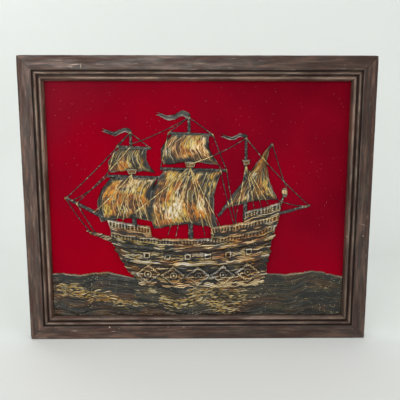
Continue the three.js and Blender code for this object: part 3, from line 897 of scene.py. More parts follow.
def hull_modelling(s, t, x, y):
    length, depth = HULL_LENGTH * s, HULL_DEPTH * t
    belly = bell(0.12 + 0.76 * t) * bell(0.06 + 0.88 * s) ** 0.4
    plank = np.abs(np.sin(STRAKES * np.pi * t)) ** 0.6
    ridge, crest, flow = strokes(length, depth, length=13, width=2.5, seed=31)
    lift = HULL_RIM + HULL_BELLY * belly + STRAKE_RIDGE * plank + 1.5 * ridge
    shade = 0.9 * (1 - step(ridge, 0.15, 0.6)) + 0.4 * (1 - step(plank, 0.2, 0.5))
    pale = crest * step(flow, 0.5, 0.8)
    pale = np.maximum(pale, step(ridge, 0.5, 0.9) * step(0.14 - t, 0, 0.05) * step(flow, 0.35, 0.6))
    glow = np.zeros_like(x)
    for at, width in WALES:
        band = step(width * 0.75 - np.abs(t - at), 0, 0.015)
        lift = lift + 1.6 * band
        # Painted light on each wale: a painted highlight on its upper half and a painted shadow just below it.
        pale = np.maximum(pale, 0.8 * band * step(t - at, -0.01, 0.02) * step(flow, 0.4, 0.6))
        shade = np.maximum(shade * (1 - 0.6 * band), step(0.035 - np.abs(t - at + width), 0, 0.02))
    for share in PORT_SHARES:
        port_x, port_y = hull_point(share, PORT_AT)
        ahead_x, ahead_y = hull_point(share + 0.05, PORT_AT)
        slope = (ahead_y - port_y) / (ahead_x - port_x)
        right, upward = x - port_x, y - port_y - slope * (x - port_x)
        reach = np.maximum(np.abs(right), np.abs(upward))
        surround = step(PORT_SIZE / 2 - reach, 0, 0.9)
        opening = step(PORT_SIZE / 2 - PORT_FRAME - reach, 0, 0.9)
        outside = step(PORT_SIZE / 2 + 1.8 - reach, 0, 0.9) - surround
        lift = lift + 1.8 * surround - 3.2 * opening
        pale = pale * (1 - surround) + (surround - opening) * (0.15 + 0.7 * step(flow, 0.35, 0.7))
        shade = np.maximum(shade * (1 - surround) + opening, 0.9 * outside)
    for share in LOZENGE_SHARES:
        middle_x, middle_y = hull_point(share, LOZENGE_AT)
        right, upward = x - middle_x, y - middle_y
        within = 1 - np.abs(right) / LOZENGE_HALF_W - np.abs(upward) / LOZENGE_HALF_H
        within = within * 0.8 * LOZENGE_HALF_H
        twist = 0.5 + 0.5 * wave(right + 0.4 * upward, ROPE_TWIST)
        rope = bell(within / (2 * LOZENGE_ROPE)) * step(within, 0, 0.3)
        away = np.hypot(right, upward) + 0.6 * (flow - 0.5)
        ring = bell((BOSS_R - away) / 2.6)
        boss = np.maximum(step(2.6 - away, 0, 1.6), ring)
        beside = np.maximum(step(within, -1.6, 0) - step(within, 0.2, 1.0), 0)
        around = step(BOSS_R + 1.5 - away, 0, 0.9) - boss
        hollow = np.maximum(beside, around)
        inside = step(within, 2 * LOZENGE_ROPE - 0.5, 2 * LOZENGE_ROPE + 0.5) - boss
        lift = lift + rope * (1.6 + 0.6 * twist) + 1.8 * boss - 0.8 * hollow
        lit = rope * (0.25 + 0.75 * twist) * (0.3 + 0.6 * step(flow, 0.3, 0.6))
        pale = pale * (1 - rope - boss) + lit
        pale = pale + boss * (0.2 + 0.5 * step(flow, 0.3, 0.7))
        shade = np.maximum(shade * (1 - rope) * (1 - boss), 0.9 * hollow)
        shade = np.maximum(shade, 0.7 * rope * (1 - step(twist, 0.1, 0.5)))
        glow = np.maximum(glow, inside)
    rail, cap = step(t, 0.905, 0.925), step(t, 0.965, 0.98)
    post, paint = posts(length, 33)
    stands = np.maximum(post, cap)
    lift = lift + rail * 1.2 * stands
    struck = 0.5 * cap * step(flow, 0.4, 0.7) + 0.55 * paint * step(post, 0.6, 1) * step(flow, 0.2, 0.5)
    pale = pale * (1 - rail) + rail * struck
    shade = shade * (1 - rail) + rail * (1 - stands)
    silver = step(soft_noise(length / 40, depth / 14, 36), 0.3, 0.75)
    return lift, {
        "gilding": 0.85 * step(ridge, 0.4, 0.9) * (1 - 0.5 * silver) * step(flow, 0.3, 0.65),
        "highlight": pale * (0.6 + 0.65 * silver),
        "shade": shade,
        "warmth": np.maximum(step(soft_noise(length / 30, depth / 16, 38), 0.35, 0.7), 0.8 * glow),
    }


paste_object("hull_of_paste", [paste(*HULL_GRID, hull_point, hull_modelling)])

# %% The raised decks, the beak and the lantern
CASTLES = [
    {"from": 0.0, "to": 0.25, "base": 0, "rise": 19, "lean": -5, "depth": 6.0},
    {"from": 0.6, "to": 1.0, "base": 0, "rise": 17, "lean": 4, "depth": 6.2},
    {"from": 0.79, "to": 1.0, "base": 17, "rise": 36, "lean": 8, "depth": 5.2},
]
CASTLE_LAP = 1.5
CASTLE_COLUMNS, CASTLE_LEAST, CASTLE_ROWS = 520, 60, 44
BEAK_ROOT, BEAK_TIP, BEAK_DEPTH, BEAK_GRID = (-146, -66), (-190, -48), 13, (80, 30)
LANTERN_AT, LANTERN_W, LANTERN_H, LANTERN_GRID = (146, 16), 9.5, 14, (24, 30)
SMALL_RIM = 1.2


def castle(deck, seed):
    """One raised deck: planks, posts and a cap rail above the sheer."""
    def outline(s, t):
        length = mix(deck["from"], deck["to"], s)
        x, y = hull_point(length, 1.0)
        rise = mix(deck["base"] - CASTLE_LAP, deck["rise"] + CASTLE_LAP, t)
        return x + deck["lean"] * np.abs(2 * length - 1) * rise / deck["rise"], y + rise

    def modelling(s, t, x, y):
        rise = t * (deck["rise"] - deck["base"])
        ridge, crest, flow = strokes(x, rise, length=11, width=2.4, seed=seed)
        post, paint = posts(x, seed + 2)
        rail, cap = step(t, 0.5, 0.56), step(t, 0.84, 0.9)
        stands = np.maximum(post, cap)
        lift = deck["depth"] + 0.9 * ridge + rail * 1.1 * stands + 0.6 * cap
        pale = 0.7 * crest * flow * (1 - rail)
        pale = pale + rail * (0.45 * cap * step(flow, 0.4, 0.7) + 0.5 * paint * step(post, 0.6, 1))
        return lift, {
            "gilding": 0.6 * step(ridge, 0.45, 0.95) * step(flow, 0.3, 0.7),
            "highlight": pale,
            "shade": (1 - rail) * 0.9 * (1 - step(ridge, 0.15, 0.6)) + rail * (1 - stands),
            "warmth": step(soft_noise(x / 30, y / 12, seed + 4), 0.35, 0.7),
        }

    columns = max(CASTLE_LEAST, int(CASTLE_COLUMNS * (deck["to"] - deck["from"])))
    return paste(columns, CASTLE_ROWS, outline, modelling)


def beak_outline(s, t):
    out = 1 - s
    x = mix(BEAK_ROOT[0] + 8, BEAK_TIP[0], out)
    middle = mix(BEAK_ROOT[1], BEAK_TIP[1], out**1.3)
    return x, middle + (t - 0.5) * BEAK_DEPTH * (1 - 0.75 * out)


def beak_modelling(s, t, x, y):
    ridge, crest, flow = strokes(x, y - 0.35 * x, length=12, width=2.4, seed=61)
    lift = 2.6 + 1.6 * bell(t) * (0.4 + 0.6 * s) + 0.8 * ridge
    return lift, {
        "gilding": 0.6 * step(ridge, 0.45, 0.95),
        "highlight": 0.8 * crest * flow,
        "shade": 0.8 * (1 - step(ridge, 0.15, 0.6)),
        "warmth": 0.4,
    }


def lantern_outline(s, t):
    swell = 0.25 + 0.75 * np.sqrt(bell(0.06 + 0.88 * t))
    x = LANTERN_AT[0] + (s - 0.5) * LANTERN_W * swell
    return x, LANTERN_AT[1] + (t - 0.5) * LANTERN_H


def lantern_modelling(s, t, x, y):
    bars = np.abs(np.sin(3 * np.pi * s)) ** 0.5
    bands = np.maximum(step(0.14 - np.abs(t - 0.2), 0, 0.06), step(0.12 - np.abs(t - 0.85), 0, 0.06))
    lift = 1.6 + 3.2 * bell(s) * bell(0.1 + 0.8 * t) + 0.7 * np.maximum(1 - bars, bands)
    return lift, {"gilding": 0.9 * bars * (1 - bands), "highlight": 0.3 * bars, "shade": 0.5 * bands}


paste_object("raised_decks", [castle(deck, seed=41 + 9 * i) for i, deck in enumerate(CASTLES)])
beak = paste(*BEAK_GRID, beak_outline, beak_modelling)
lantern = paste(*LANTERN_GRID, lantern_outline, lantern_modelling, rim=SMALL_RIM)
paste_object("beak_and_lantern", [beak, lantern])

# %% [markdown]
# ## The sails
#
# Each sail is a bellied cushion with thin ribs scored from head to foot. Between the ribs the brush left
# gold, orange and ivory in long streaks, and the edges stay dark. All square sails share one function, and
# the three-cornered one aft only has another outline.

# %% The sails
SAIL_RIM, SAIL_BELLY = 1.6, 4.6
SAIL_CELL = (0.75, 0.8)
RIB_SPACING, LEAST_RIBS = 9.0, 4
SAILS = [
    {"head": (-146, -68, 42), "foot": (-164, -74, -34), "bow": 14, "drop": 6},
    {"head": (-130, -84, 91), "foot": (-146, -72, 49), "bow": 11, "drop": 4},
    {"head": (-56, 40, 54), "foot": (-74, 34, -46), "bow": 17, "drop": 7},
    {"head": (-42, 18, 113), "foot": (-58, 36, 62), "bow": 12, "drop": 5},
]
MIZZEN_TACK, MIZZEN_PEAK, MIZZEN_CLEW = (43, -13), (119, 91), (136, 3)
MIZZEN_BOW, MIZZEN_DROP, PEAK_WIDTH = 10, 5, 3
MIZZEN_SIZE, MIZZEN_GRID = (93, 94), (120, 120)


def square_outline(sail):
    (head_left, head_right, head_y), (foot_left, foot_right, foot_y) = sail["head"], sail["foot"]

    def outline(s, t):
        left = mix(foot_left, head_left, t) - sail["bow"] * bell(t)
        right = mix(foot_right, head_right, t) - 0.6 * sail["bow"] * bell(t)
        hang = sail["drop"] * bell(s) * (1 - t)
        return mix(left, right, s), mix(foot_y, head_y, t) + hang

    return outline


def mizzen_outline(s, t):
    luff_x = mix(MIZZEN_TACK[0], MIZZEN_PEAK[0] - PEAK_WIDTH, t)
    luff_y = mix(MIZZEN_TACK[1], MIZZEN_PEAK[1], t)
    leech_x = mix(MIZZEN_CLEW[0], MIZZEN_PEAK[0], t) - MIZZEN_BOW * bell(t)
    leech_y = mix(MIZZEN_CLEW[1], MIZZEN_PEAK[1], t)
    return mix(luff_x, leech_x, s), mix(luff_y, leech_y, s) + MIZZEN_DROP * bell(s) * (1 - t)


def sail_modelling(width, height, seed):
    """How a sail of about this size stands up, and where the brush touched it."""
    ribs = max(LEAST_RIBS, round(width / RIB_SPACING))

    def modelling(s, t, x, y):
        right, upward = s * width, t * height
        belly = bell(s) ** 0.6 * (0.35 + 0.65 * bell(0.1 + 0.6 * t))
        sway = s * ribs + 0.35 * (soft_noise(3 * s, 2.5 * t, seed) - 0.5)
        beside = sway - np.round(sway)
        scored = step(soft_noise(np.round(sway) * 0.9, 2 * t, seed + 8), 0.2, 0.5)
        rib = np.exp(-((beside / 0.06) ** 2)) * scored
        groove = np.exp(-(((np.abs(beside) - 0.15) / 0.07) ** 2))
        ridge, _, flow = strokes(upward, right, length=17, width=1.9, seed=seed + 1)
        mottle = soft_noise(right / 1.7, upward / 5.5, seed + 7)
        lift = SAIL_RIM + SAIL_BELLY * belly + 0.3 * ridge + 0.5 * mottle + 0.8 * rib - 0.3 * groove
        panel = soft_noise(np.floor(sway) * 0.83 + 0.4, upward / 30, seed + 2)
        loose = soft_noise(right / 17, upward / 32, seed + 4)
        bright = step(0.3 * panel + 0.75 * loose + 0.3 * (mottle - 0.5), 0.38, 0.7)
        edge = np.minimum(np.minimum(s, 1 - s) * width, np.minimum(t, 1.5 * (1 - t)) * height)
        dark = 1 - step(edge + 12 * (soft_noise(right / 11, upward / 11, seed + 3) - 0.5), 2, 10)
        pale = step(soft_noise(right / 20 + 0.5, upward / 22, seed + 5), 0.55, 0.75)
        body = bright * (1 - dark)
        gilding = body * (0.45 + 0.55 * step(mottle, 0.2, 0.6)) + 0.7 * rib * (1 - 0.8 * dark)
        hatched = (1 - step(ridge, 0.1, 0.5)) * step(flow, 0.3, 0.5)
        return lift, {
            "gilding": gilding + 0.3 * (1 - bright) * (1 - dark) * step(mottle, 0.4, 0.8),
            "highlight": 0.8 * pale * body * step(mottle, 0.35, 0.75) + 0.6 * rib * (1 - dark),
            "shade": 0.3 * dark + 0.45 * groove * (1 - rib) + 0.5 * hatched * (1 - 0.5 * body),
            "warmth": step(soft_noise(right / 14, upward / 18, seed + 6), 0.42, 0.62) * (1 - dark),
        }

    return modelling


sail_parts = []
for i, sail in enumerate(SAILS):
    width = sail["foot"][1] - sail["foot"][0]
    height = sail["head"][2] - sail["foot"][2]
    grid = (int(width / SAIL_CELL[0]), int(height / SAIL_CELL[1]))
    sail_parts.append(paste(*grid, square_outline(sail), sail_modelling(width, height, seed=71 + 10 * i)))
sail_parts.append(paste(*MIZZEN_GRID, mizzen_outline, sail_modelling(*MIZZEN_SIZE, seed=119)))
paste_object("sails_of_paste", sail_parts)

# %% Pennants and fighting tops
PENNANTS = [
    {"at": (-111, 117), "length": 48, "hoist": 9},
    {"at": (-14, 143), "length": 56, "hoist": 10},
    {"at": (80, 109), "length": 42, "hoist": 8},
]
PENNANT_GRID, PENNANT_RIM = (110, 20), 1.4
TOPS = [{"at": (-110, 47), "width": 17}, {"at": (-13, 59), "width": 20}, {"at": (80, 62), "width": 14}]
TOP_HEIGHT, TOP_GRID = 9, (40, 22)


def pennant(flag, seed):
    """A forked streamer that waves away from its mast head."""
    length, hoist, (hoist_x, hoist_y) = flag["length"], flag["hoist"], flag["at"]

    def outline(s, t):
        out = 1 - s
        fork = 1 - 0.16 * out * (1 - np.abs(2 * t - 1))
        droop = 0.06 * length * wave(out * length, 0.8 * length)
        return hoist_x - length * out * fork, hoist_y + droop + (t - 0.5) * hoist * (1 - 0.45 * out)

    def modelling(s, t, x, y):
        ridge, crest, flow = strokes(s * length, t * hoist, length=15, width=1.6, seed=seed)
        lift = 1.4 + 1.3 * bell(0.1 + 0.8 * t) + 0.5 * wave(s, 0.4) + 0.4 * ridge
        lower = step(0.26 - t, 0, 0.16)
        return lift, {
            "highlight": 0.5 * lower * step(flow, 0.3, 0.6) + 0.3 * crest * flow,
            "shade": 0.35 * (1 - step(ridge, 0.1, 0.6)),
        }

    return paste(*PENNANT_GRID, outline, modelling, rim=PENNANT_RIM)


def fighting_top(top):
    """A small basket of upright staves round a mast."""
    width, (top_x, top_y) = top["width"], top["at"]

    def outline(s, t):
        return top_x + (s - 0.5) * width * (0.65 + 0.35 * t), top_y + TOP_HEIGHT * t

    def modelling(s, t, x, y):
        stave = np.abs(np.sin(6 * np.pi * s)) ** 0.6
        cap = step(t, 0.7, 0.78)
        stands = np.maximum(stave, cap)
        lift = 5 + 2.0 * bell(s) + 0.5 * stands + 0.5 * cap
        return lift, {
            "gilding": 0.35 * step(stave, 0.5, 0.9) * (1 - cap),
            "highlight": 0.22 * cap,
            "shade": 0.9 * (1 - step(stands, 0.4, 0.8)),
            "warmth": 0.4,
        }

    return paste(*TOP_GRID, outline, modelling, rim=SMALL_RIM)


paste_object("pennants", [pennant(flag, seed=131 + 5 * i) for i, flag in enumerate(PENNANTS)])
paste_object("fighting_tops", [fighting_top(top) for top in TOPS])

# %% [markdown]
# ## Spars and rigging
#
# Masts and yards are bars of paste, and the rigging is thread drawn out of the same tube. Both follow a
# line, thin out along it and lie flat on the velvet, so one tree makes both: it turns the host's edges into
# curves, lets them wander a little, sweeps a round section along them and presses flat what would sink into
# the panel.

# %% The tree that lays paste along lines
SWAY_SCALE, LUMP_SCALE = 45.0, 160.0

tree, given = new_tree("thread_of_paste", Spacing=0.002, Wander=0.0003, Lump=0.25, Face=0.0, Sides=10)
curve = add(tree, "MeshToCurve", {"Mesh": given["Host"]})
curve = add(tree, "ResampleCurve", {"Curve": curve, "Length": given["Spacing"]}, mode="LENGTH")
sway = add(tree, "TexNoise", {"Scale": SWAY_SCALE, "Detail": 2.0}, take="Color")
sway = add(tree, "VectorMath", [sway, (0.5, 0.5, 0.5)], operation="SUBTRACT")
sway = add(tree, "VectorMath", {0: sway, "Scale": given["Wander"]}, operation="SCALE")
curve = add(tree, "SetPosition", {"Geometry": curve, "Offset": sway})
lumps = add(tree, "TexNoise", {"Scale": LUMP_SCALE, "Detail": 2.0})
lumps = maths(tree, "SUBTRACT", lumps, 0.5)
lumps = maths(tree, "MULTIPLY_ADD", lumps, given["Lump"], 1.0)
girth = add(tree, "InputNamedAttribute", {"Name": "girth"})
girth = maths(tree, "MULTIPLY", girth, lumps)
circle = add(tree, "CurvePrimitiveCircle", {"Resolution": given["Sides"], "Radius": 1.0})
swept = {"Curve": curve, "Profile Curve": circle, "Scale": girth, "Fill Caps": True}
bar = add(tree, "CurveToMesh", swept)
spot = add(tree, "SeparateXYZ", [add(tree, "InputPosition")], take=None)
pressed = maths(tree, "MINIMUM", spot["Y"], given["Face"])
pressed = add(tree, "CombineXYZ", [spot["X"], pressed, spot["Z"]])
bar = add(tree, "SetPosition", {"Geometry": bar, "Position": pressed})
close_tree(tree, bar, given["Finish"])
thread_tree = tree

GILT_FROM, GILT_TO = 1.0, 3.0


def lay_lines(name, slot, lines, sharp=None, **sizes):
    """Keep a piece made of lines, each a list of panel points with a radius, all in millimetres."""
    points, edges = [], []
    for line in lines:
        edges += [(i, i + 1) for i in range(len(points), len(points) + len(line) - 1)]
        points += line
    x, y, lift, radius = np.array(points, dtype=float).T
    host = new_mesh(name + "_lines", on_panel(x, y, lift), [], edges)
    store(host, "girth", radius * MM)
    store(host, "gilt", step(lift, GILT_FROM, GILT_TO))
    mesh = grown(name, host, thread_tree, **sizes)
    face_outwards(mesh)
    smooth(mesh, sharp)
    keep(new_object(name, mesh), slot)


# %% Masts, yards, bowsprit and boomkin
SPARS = [  # both ends on the panel, and the radius at each
    ((-108, -40), (-112, 120), (4.2, 2.2)),
    ((-12, -74), (-15, 146), (4.8, 2.4)),
    ((80, -34), (80, 112), (4.0, 2.0)),
    ((-128, -42), (-224, 8), (4.4, 2.2)),
    ((124, -24), (190, -6), (3.2, 1.8)),
    ((-152, 44), (-62, 41), (2.6, 2.6)),
    ((-136, 93), (-78, 90), (2.4, 2.4)),
    ((-63, 56), (48, 53), (2.8, 2.8)),
    ((-49, 115), (25, 112), (2.5, 2.5)),
    ((35, -24), (124, 98), (2.8, 2.0)),
    ((137, -8), (146, 12), (2.2, 1.8)),
]
RUB_MM = 4.5
FACE_SINK = VELVET_Y + SINK * MM
SPAR_SIZES = {"Spacing": 0.0015, "Wander": 0.0016, "Lump": 0.5, "Face": FACE_SINK, "Sides": 14}

# Spars are the same paste with hardly any gold: charcoal with a dull green cast and a pale rub on the round.
spar_paste, tree, shader = new_material("charcoal_paste")
place = add(tree, "TexCoord", take="Object")
grit = noise_of(tree, place, GRAIN_MM * MM, detail=3.0, roughness=0.65)
rub = noise_of(tree, place, RUB_MM * MM, detail=4.0, roughness=0.7)
charcoal_stops = [(0.38, "#191c1b"), (0.5, "#2c302f"), (0.58, "#4b4f49"), (0.7, "#b2ac94")]
charcoal = ramp(tree, rub, charcoal_stops)
gold = ramp(tree, rub, [(0.4, "#8a6a34"), (0.52, "#cdb273"), (0.64, "#e9d9a8")])
gilt = add(tree, "Attribute", take="Fac", attribute_name="gilt")
gilded = blend(tree, gilt, charcoal, gold)
tooth = add(tree, "Bump", {"Strength": 0.6, "Distance": 0.0006, "Height": grit})
fill(shader, {"Base Color": gilded, "Roughness": 0.4, "Specular IOR Level": 0.4, "Normal": tooth})

spar_lines = [[(*start, 0, thick), (*end, 0, thin)] for start, end, (thick, thin) in SPARS]
lay_lines("masts_and_yards", "bronzed_paste", spar_lines, Finish=spar_paste, **SPAR_SIZES)

# %% The rigging
STAY_R, SHROUD_R = 0.75, 0.65
THREAD_LIFT, THREAD_STEP, LEAST_STEPS = 0.5, 2.5, 3
STAYS = [  # both ends on the panel, and the sag
    ((-112, 116), (-222, 7), 3),
    ((-112, 92), (-205, -2), 3),
    ((-110, 48), (-176, -17), 3),
    ((-15, 141), (-111, 97), 3),
    ((-14, 60), (-108, -18), 2),
    ((80, 107), (-14, 64), 4),
    ((80, 107), (188, -6), 5),
    ((124, 97), (150, 20), 2),
    ((-224, 8), (-184, -50), 3),
    ((-205, -1), (-172, -56), 2),
    ((-152, 44), (-212, 3), 4),
    ((-136, 93), (-152, 46), 1),
    ((-49, 115), (-63, 57), 1),
    ((25, 112), (48, 54), 1),
    ((136, 3), (184, -7), 3),
    ((-15, 141), (-49, 115), 0),
    ((-15, 141), (25, 112), 0),
    ((-112, 116), (-136, 93), 0),
    ((-112, 116), (-78, 90), 0),
    ((48, 53), (66, -40), 5),
    ((36, 62), (62, -42), 4),
]
SHROUDS = [
    {"head": (-111, 46), "feet": [(-140, -38), (-128, -36), (-96, -28), (-84, -31)]},
    {"head": (-13, 58), "feet": [(-52, -58), (-38, -60), (12, -58), (26, -56), (40, -46)]},
    {"head": (80, 61), "feet": [(62, -40), (96, -14), (108, -9), (120, -6)]},
]
THREAD_SIZES = {"Spacing": 0.0025, "Wander": 0.0012, "Lump": 0.9, "Face": FACE_SINK, "Sides": 7}
EYE_LIFT = 100.0
UNDER_THREADS = ("hull_of_paste", "raised_decks", "sails_of_paste", "fighting_tops", "masts_and_yards")
scene_now = bpy.context.evaluated_depsgraph_get()
front_of_ship = [BVHTree.FromObject(bpy.data.objects[name], scene_now) for name in UNDER_THREADS]


def lift_under(x, y):
    """How far the relief stands off the velvet at a place, as a thread that is laid there would find it."""
    eye = on_panel(x, y, EYE_LIFT)
    hits = [relief.ray_cast(eye, (0, 1, 0))[0] for relief in front_of_ship]
    return max([(VELVET_Y - hit.y) / MM for hit in hits if hit] + [0.0])


def hung(start, end, sag, radius=STAY_R):
    """Points of a thread between two places: slack in the middle, and lying on whatever is under it."""
    line = []
    count = max(LEAST_STEPS, round(math.dist(start, end) / THREAD_STEP))
    for i in range(count + 1):
        along = i / count
        x = mix(start[0], end[0], along)
        y = mix(start[1], end[1], along) - sag * 4 * along * (1 - along)
        line.append((x, y, lift_under(x, y) + THREAD_LIFT, radius))
    return line


rigging_lines = [hung(*stay) for stay in STAYS]
for shroud in SHROUDS:
    rigging_lines += [hung(shroud["head"], foot, 0, SHROUD_R) for foot in shroud["feet"]]
lay_lines("rigging", "bronzed_paste", rigging_lines, Finish=spar_paste, **THREAD_SIZES)

# %% [markdown]
# ## The velvet
#
# Velvet is a short upright pile. Seen straight on it is deep and nearly matt; seen along the panel it
# lights up, which the shader's sheen gives. Where a hand has stroked it the pile lies another way, so the
# red drifts in broad soft clouds. The red is painted fuller towards the lower left, a painted falloff of the
# window's light, and the upper left corner is painted greyer, a painted sheen of the pile towards the
# window. The cloth is stretched over the board, so the cut is the panel's own size.

# %% Velvet
PILE_MM, NAP_MM = 0.9, 190.0
PAINTED_FALLOFF_PER_METRE = (-0.6, 0.0, -1.0)
SHEEN_CORNER = (-1.0, 0.0, 1.0)
VELVET_GRID = (161, 129)
RIPPLE, RIPPLE_LENGTH, RIPPLE_SUNK = 0.12, 30, 0.9
VELVET_SHARP = math.radians(40)

velvet, tree, shader = new_material("cotton_velvet")
place = add(tree, "TexCoord", take="Object")
nap = noise_of(tree, place, NAP_MM * MM, detail=3.0)
pile = noise_of(tree, place, PILE_MM * MM, detail=2.0)
# Painted light: the red is made fuller towards the lower left, a painted falloff of the window's light.
painted_falloff = add(tree, "VectorMath", [place, PAINTED_FALLOFF_PER_METRE], take="Value", operation="DOT_PRODUCT")
drift = maths(tree, "ADD", nap, painted_falloff)
red_stops = [(0.36, "#660516"), (0.6, "#7d061b"), (0.8, "#8d0219"), (1.0, "#950218")]
red = ramp(tree, drift, red_stops)
speckled = remap(tree, pile, 0.3, 0.7, 0.82, 1.12)
tufted = blend(tree, 1.0, red, speckled, "MULTIPLY")
# Painted light: the upper left corner is mixed towards a greyish pink, a painted sheen of the pile.
cornerward = add(tree, "VectorMath", [place, SHEEN_CORNER], take="Value", operation="DOT_PRODUCT")
painted_sheen = remap(tree, cornerward, 0.08, 0.25, 0.0, 0.5)
red_with_painted_sheen = blend(tree, painted_sheen, tufted, linear("#64202e"))
tufts = add(tree, "Bump", {"Strength": 0.4, "Distance": 0.0004, "Height": pile})
fill(shader, {"Base Color": red_with_painted_sheen, "Roughness": 0.95, "Specular IOR Level": 0.0, "Normal": tufts})
fill(shader, {"Sheen Weight": 0.35, "Sheen Roughness": 0.45, "Sheen Tint": linear("#c00428")})

s, t = np.meshgrid(np.linspace(0, 1, VELVET_GRID[0]), np.linspace(0, 1, VELVET_GRID[1]))
x, y = (s - 0.5) * PANEL_W, (t - 0.5) * PANEL_H
ripple = RIPPLE * (soft_noise(x / RIPPLE_LENGTH, y / RIPPLE_LENGTH, 5) - RIPPLE_SUNK)
sides = [on_panel(x, y, lift).reshape(-1, 3) for lift in (ripple, -VELVET_T)]
quads, ring = grid_faces(x.shape)
after = np.roll(ring, -1)
walls = np.stack([ring + x.size, after + x.size, after, ring], axis=-1)
cloth_faces = np.concatenate([quads, quads[:, ::-1] + x.size, walls]).tolist()
velvet_mesh = new_mesh("velvet_ground", np.concatenate(sides), cloth_faces)
smooth(velvet_mesh, VELVET_SHARP)
ground_cloth = new_object("velvet_ground", velvet_mesh, velvet)
keep(ground_cloth, "red_velvet", "velvet_cover")

# %% [markdown]
# ## Lint
#
# An old velvet ground catches lint: short pale fibres that lie on the pile at all angles. A tree scatters
# points on the upper part of the cloth and lays a small bent fibre at each.

# %% Lint on the velvet
FIBRE = {
    "Resolution": 5,
    "Start": (-0.5, 0, 0),
    "Start Handle": (-0.2, 0.45, 0),
    "End Handle": (0.2, -0.3, 0),
    "End": (0.5, 0.1, 0),
}
LINT_TILT = np.array((0.15, 0.15, 3.1))
LINT_MARGIN, LINT_FROM, LINT_LIFT = 6.0, -40.0, 0.12
LINT_SIZES = {"Density": 2300.0, "Long": 0.0015, "Thick": 0.00016, "Seed": 3}

tree, given = new_tree("scattered_lint", Density=800.0, Long=0.002, Thick=0.00012, Seed=3)
scattered = {"Mesh": given["Host"], "Density": given["Density"], "Seed": given["Seed"]}
spots = add(tree, "DistributePointsOnFaces", scattered, take=None)
fibre = add(tree, "CurvePrimitiveBezierSegment", FIBRE)
longer = add(tree, "CombineXYZ", {axis: given["Long"] for axis in "XYZ"})
fibre = add(tree, "Transform", {"Geometry": fibre, "Scale": longer})
thread = add(tree, "CurvePrimitiveCircle", {"Resolution": 4, "Radius": given["Thick"]})
fibre = add(tree, "CurveToMesh", {"Curve": fibre, "Profile Curve": thread, "Fill Caps": True})
any_way = add(
    tree, "RandomValue", {0: -LINT_TILT, 1: LINT_TILT, "Seed": given["Seed"]}, data_type="FLOAT_VECTOR"
)
turned = add(
    tree, "RotateRotation", {"Rotation": spots["Rotation"], "Rotate By": any_way}, rotation_space="LOCAL"
)
any_size = add(tree, "RandomValue", {2: 0.35, 3: 1.0, "Seed": given["Seed"]}, take=1, data_type="FLOAT")
laid = add(
    tree,
    "InstanceOnPoints",
    {"Points": spots["Points"], "Instance": fibre, "Rotation": turned, "Scale": any_size},
)
close_tree(tree, laid, given["Finish"])

# Cotton lint: pale, dull and a little pink from the pile around it.
lint_fibre, _, shader = new_material("cotton_lint")
fill(shader, {"Base Color": linear("#c98a8c"), "Roughness": 0.9})
half_w, high_y = SIGHT_W / 2 - LINT_MARGIN, SIGHT_H / 2 - LINT_MARGIN
corners = [(-half_w, LINT_FROM), (half_w, LINT_FROM), (half_w, high_y), (-half_w, high_y)]
host = new_mesh("lint_host", [on_panel(x, y, LINT_LIFT) for x, y in corners], [(0, 1, 2, 3)])
keep(new_object("lint", grown("lint", host, tree, Finish=lint_fibre, **LINT_SIZES)), "red_velvet")

# %% [markdown]
# ## The back
#
# The board is plain hardboard, held in the rabbet by brads tapped into the rails, and the hanger is a plated
# strip on two nails. Their solids have the right shape already, so they only get materials. A brad is a
# short straight line and a nail's head is a very short thick one, so the tree that laid the threads makes
# them too.

# %% Hardboard and plated steel
FELT_MM = 2.2
ROLLED_SCALE = (60.0, 900.0, 2500.0)

hardboard, tree, shader = new_material("felted_hardboard")
place = add(tree, "TexCoord", take="Object")
felt = noise_of(tree, place, FELT_MM * MM, detail=5.0, roughness=0.7)
fibres = ramp(tree, felt, [(0.3, "#4d3420"), (0.5, "#6b4a2f"), (0.7, "#8a6543")])
screen_side = add(tree, "Bump", {"Strength": 0.5, "Distance": 0.0003, "Height": felt})
fill(shader, {"Base Color": fibres, "Roughness": 0.8, "Normal": screen_side})

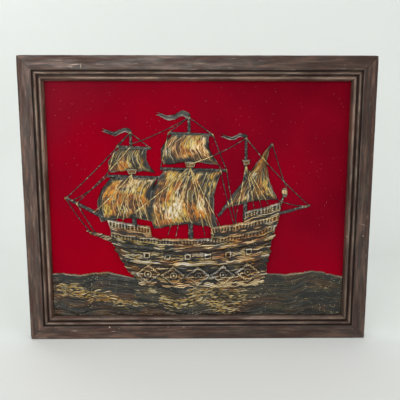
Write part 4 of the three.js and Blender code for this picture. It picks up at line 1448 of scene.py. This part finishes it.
plated_steel, tree, shader = new_material("plated_steel")
place = add(tree, "TexCoord", take="Object")
drawn_out = add(tree, "Mapping", {"Vector": place, "Scale": ROLLED_SCALE})
rolled = noise_of(tree, drawn_out, size=1.0, detail=3.0)
plating = ramp(tree, rolled, [(0.3, "#a08b5c"), (0.55, "#c2b083"), (0.75, "#d6c9a2")])
dulled = remap(tree, rolled, 0.3, 0.7, 0.3, 0.5)
fill(shader, {"Base Color": plating, "Metallic": 1.0, "Roughness": dulled})

for node, material in [("backing_board", hardboard), ("sawtooth_hanger", plated_steel)]:
    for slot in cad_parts[node].material_slots:
        slot.material = material
    print(node, "is", material.name)

# %% Brads round the board and nails in the hanger
BRAD_R, BRAD_OUT, BRAD_IN, BRAD_PROUD = 0.7, 7.0, 5.0, 0.8
BRADS_LONG, BRADS_SHORT = 4, 3
NAIL_AT, TAB_T = 26.0, 1.0
NAIL_HEAD = [(-1.0, 1.0), (-0.01, 1.0), (0.0, 3.0), (0.4, 3.0), (0.7, 2.3), (0.85, 0.7)]
NAIL_SIZES = {"Spacing": 0.0002, "Wander": 0.0, "Lump": 0.0, "Face": 1.0, "Sides": 12}
NAIL_SHARP = math.radians(40)

board_low, board_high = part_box("backing_board")
board_half_x, board_half_y = board_high.x / MM, (board_high.z - board_low.z) / 2 / MM
brad_lift = (VELVET_Y - board_high.y) / MM - BRAD_PROUD * BRAD_R
nail_lines = []
for count, half_run, half_across, upright in [
    (BRADS_LONG, board_half_x, board_half_y, True),
    (BRADS_SHORT, board_half_y, board_half_x, False),
]:
    for i in range(count):
        along = half_run * (2 * (i + 0.5) / count - 1)
        for side in (-1, 1):
            ends = [side * (half_across + out) for out in (BRAD_IN, -BRAD_OUT)]
            places = [(along, end) if upright else (end, along) for end in ends]
            nail_lines.append([(*place, brad_lift, BRAD_R) for place in places])
tab_lift = (VELVET_Y - WALL_SIDE_Y) / MM - TAB_T
for side in (-1, 1):
    nail_lines.append([(side * NAIL_AT, -PANEL_Z / MM, tab_lift - out, radius) for out, radius in NAIL_HEAD])
lay_lines("nails_and_brads", "hanger_steel", nail_lines, NAIL_SHARP, Finish=plated_steel, **NAIL_SIZES)
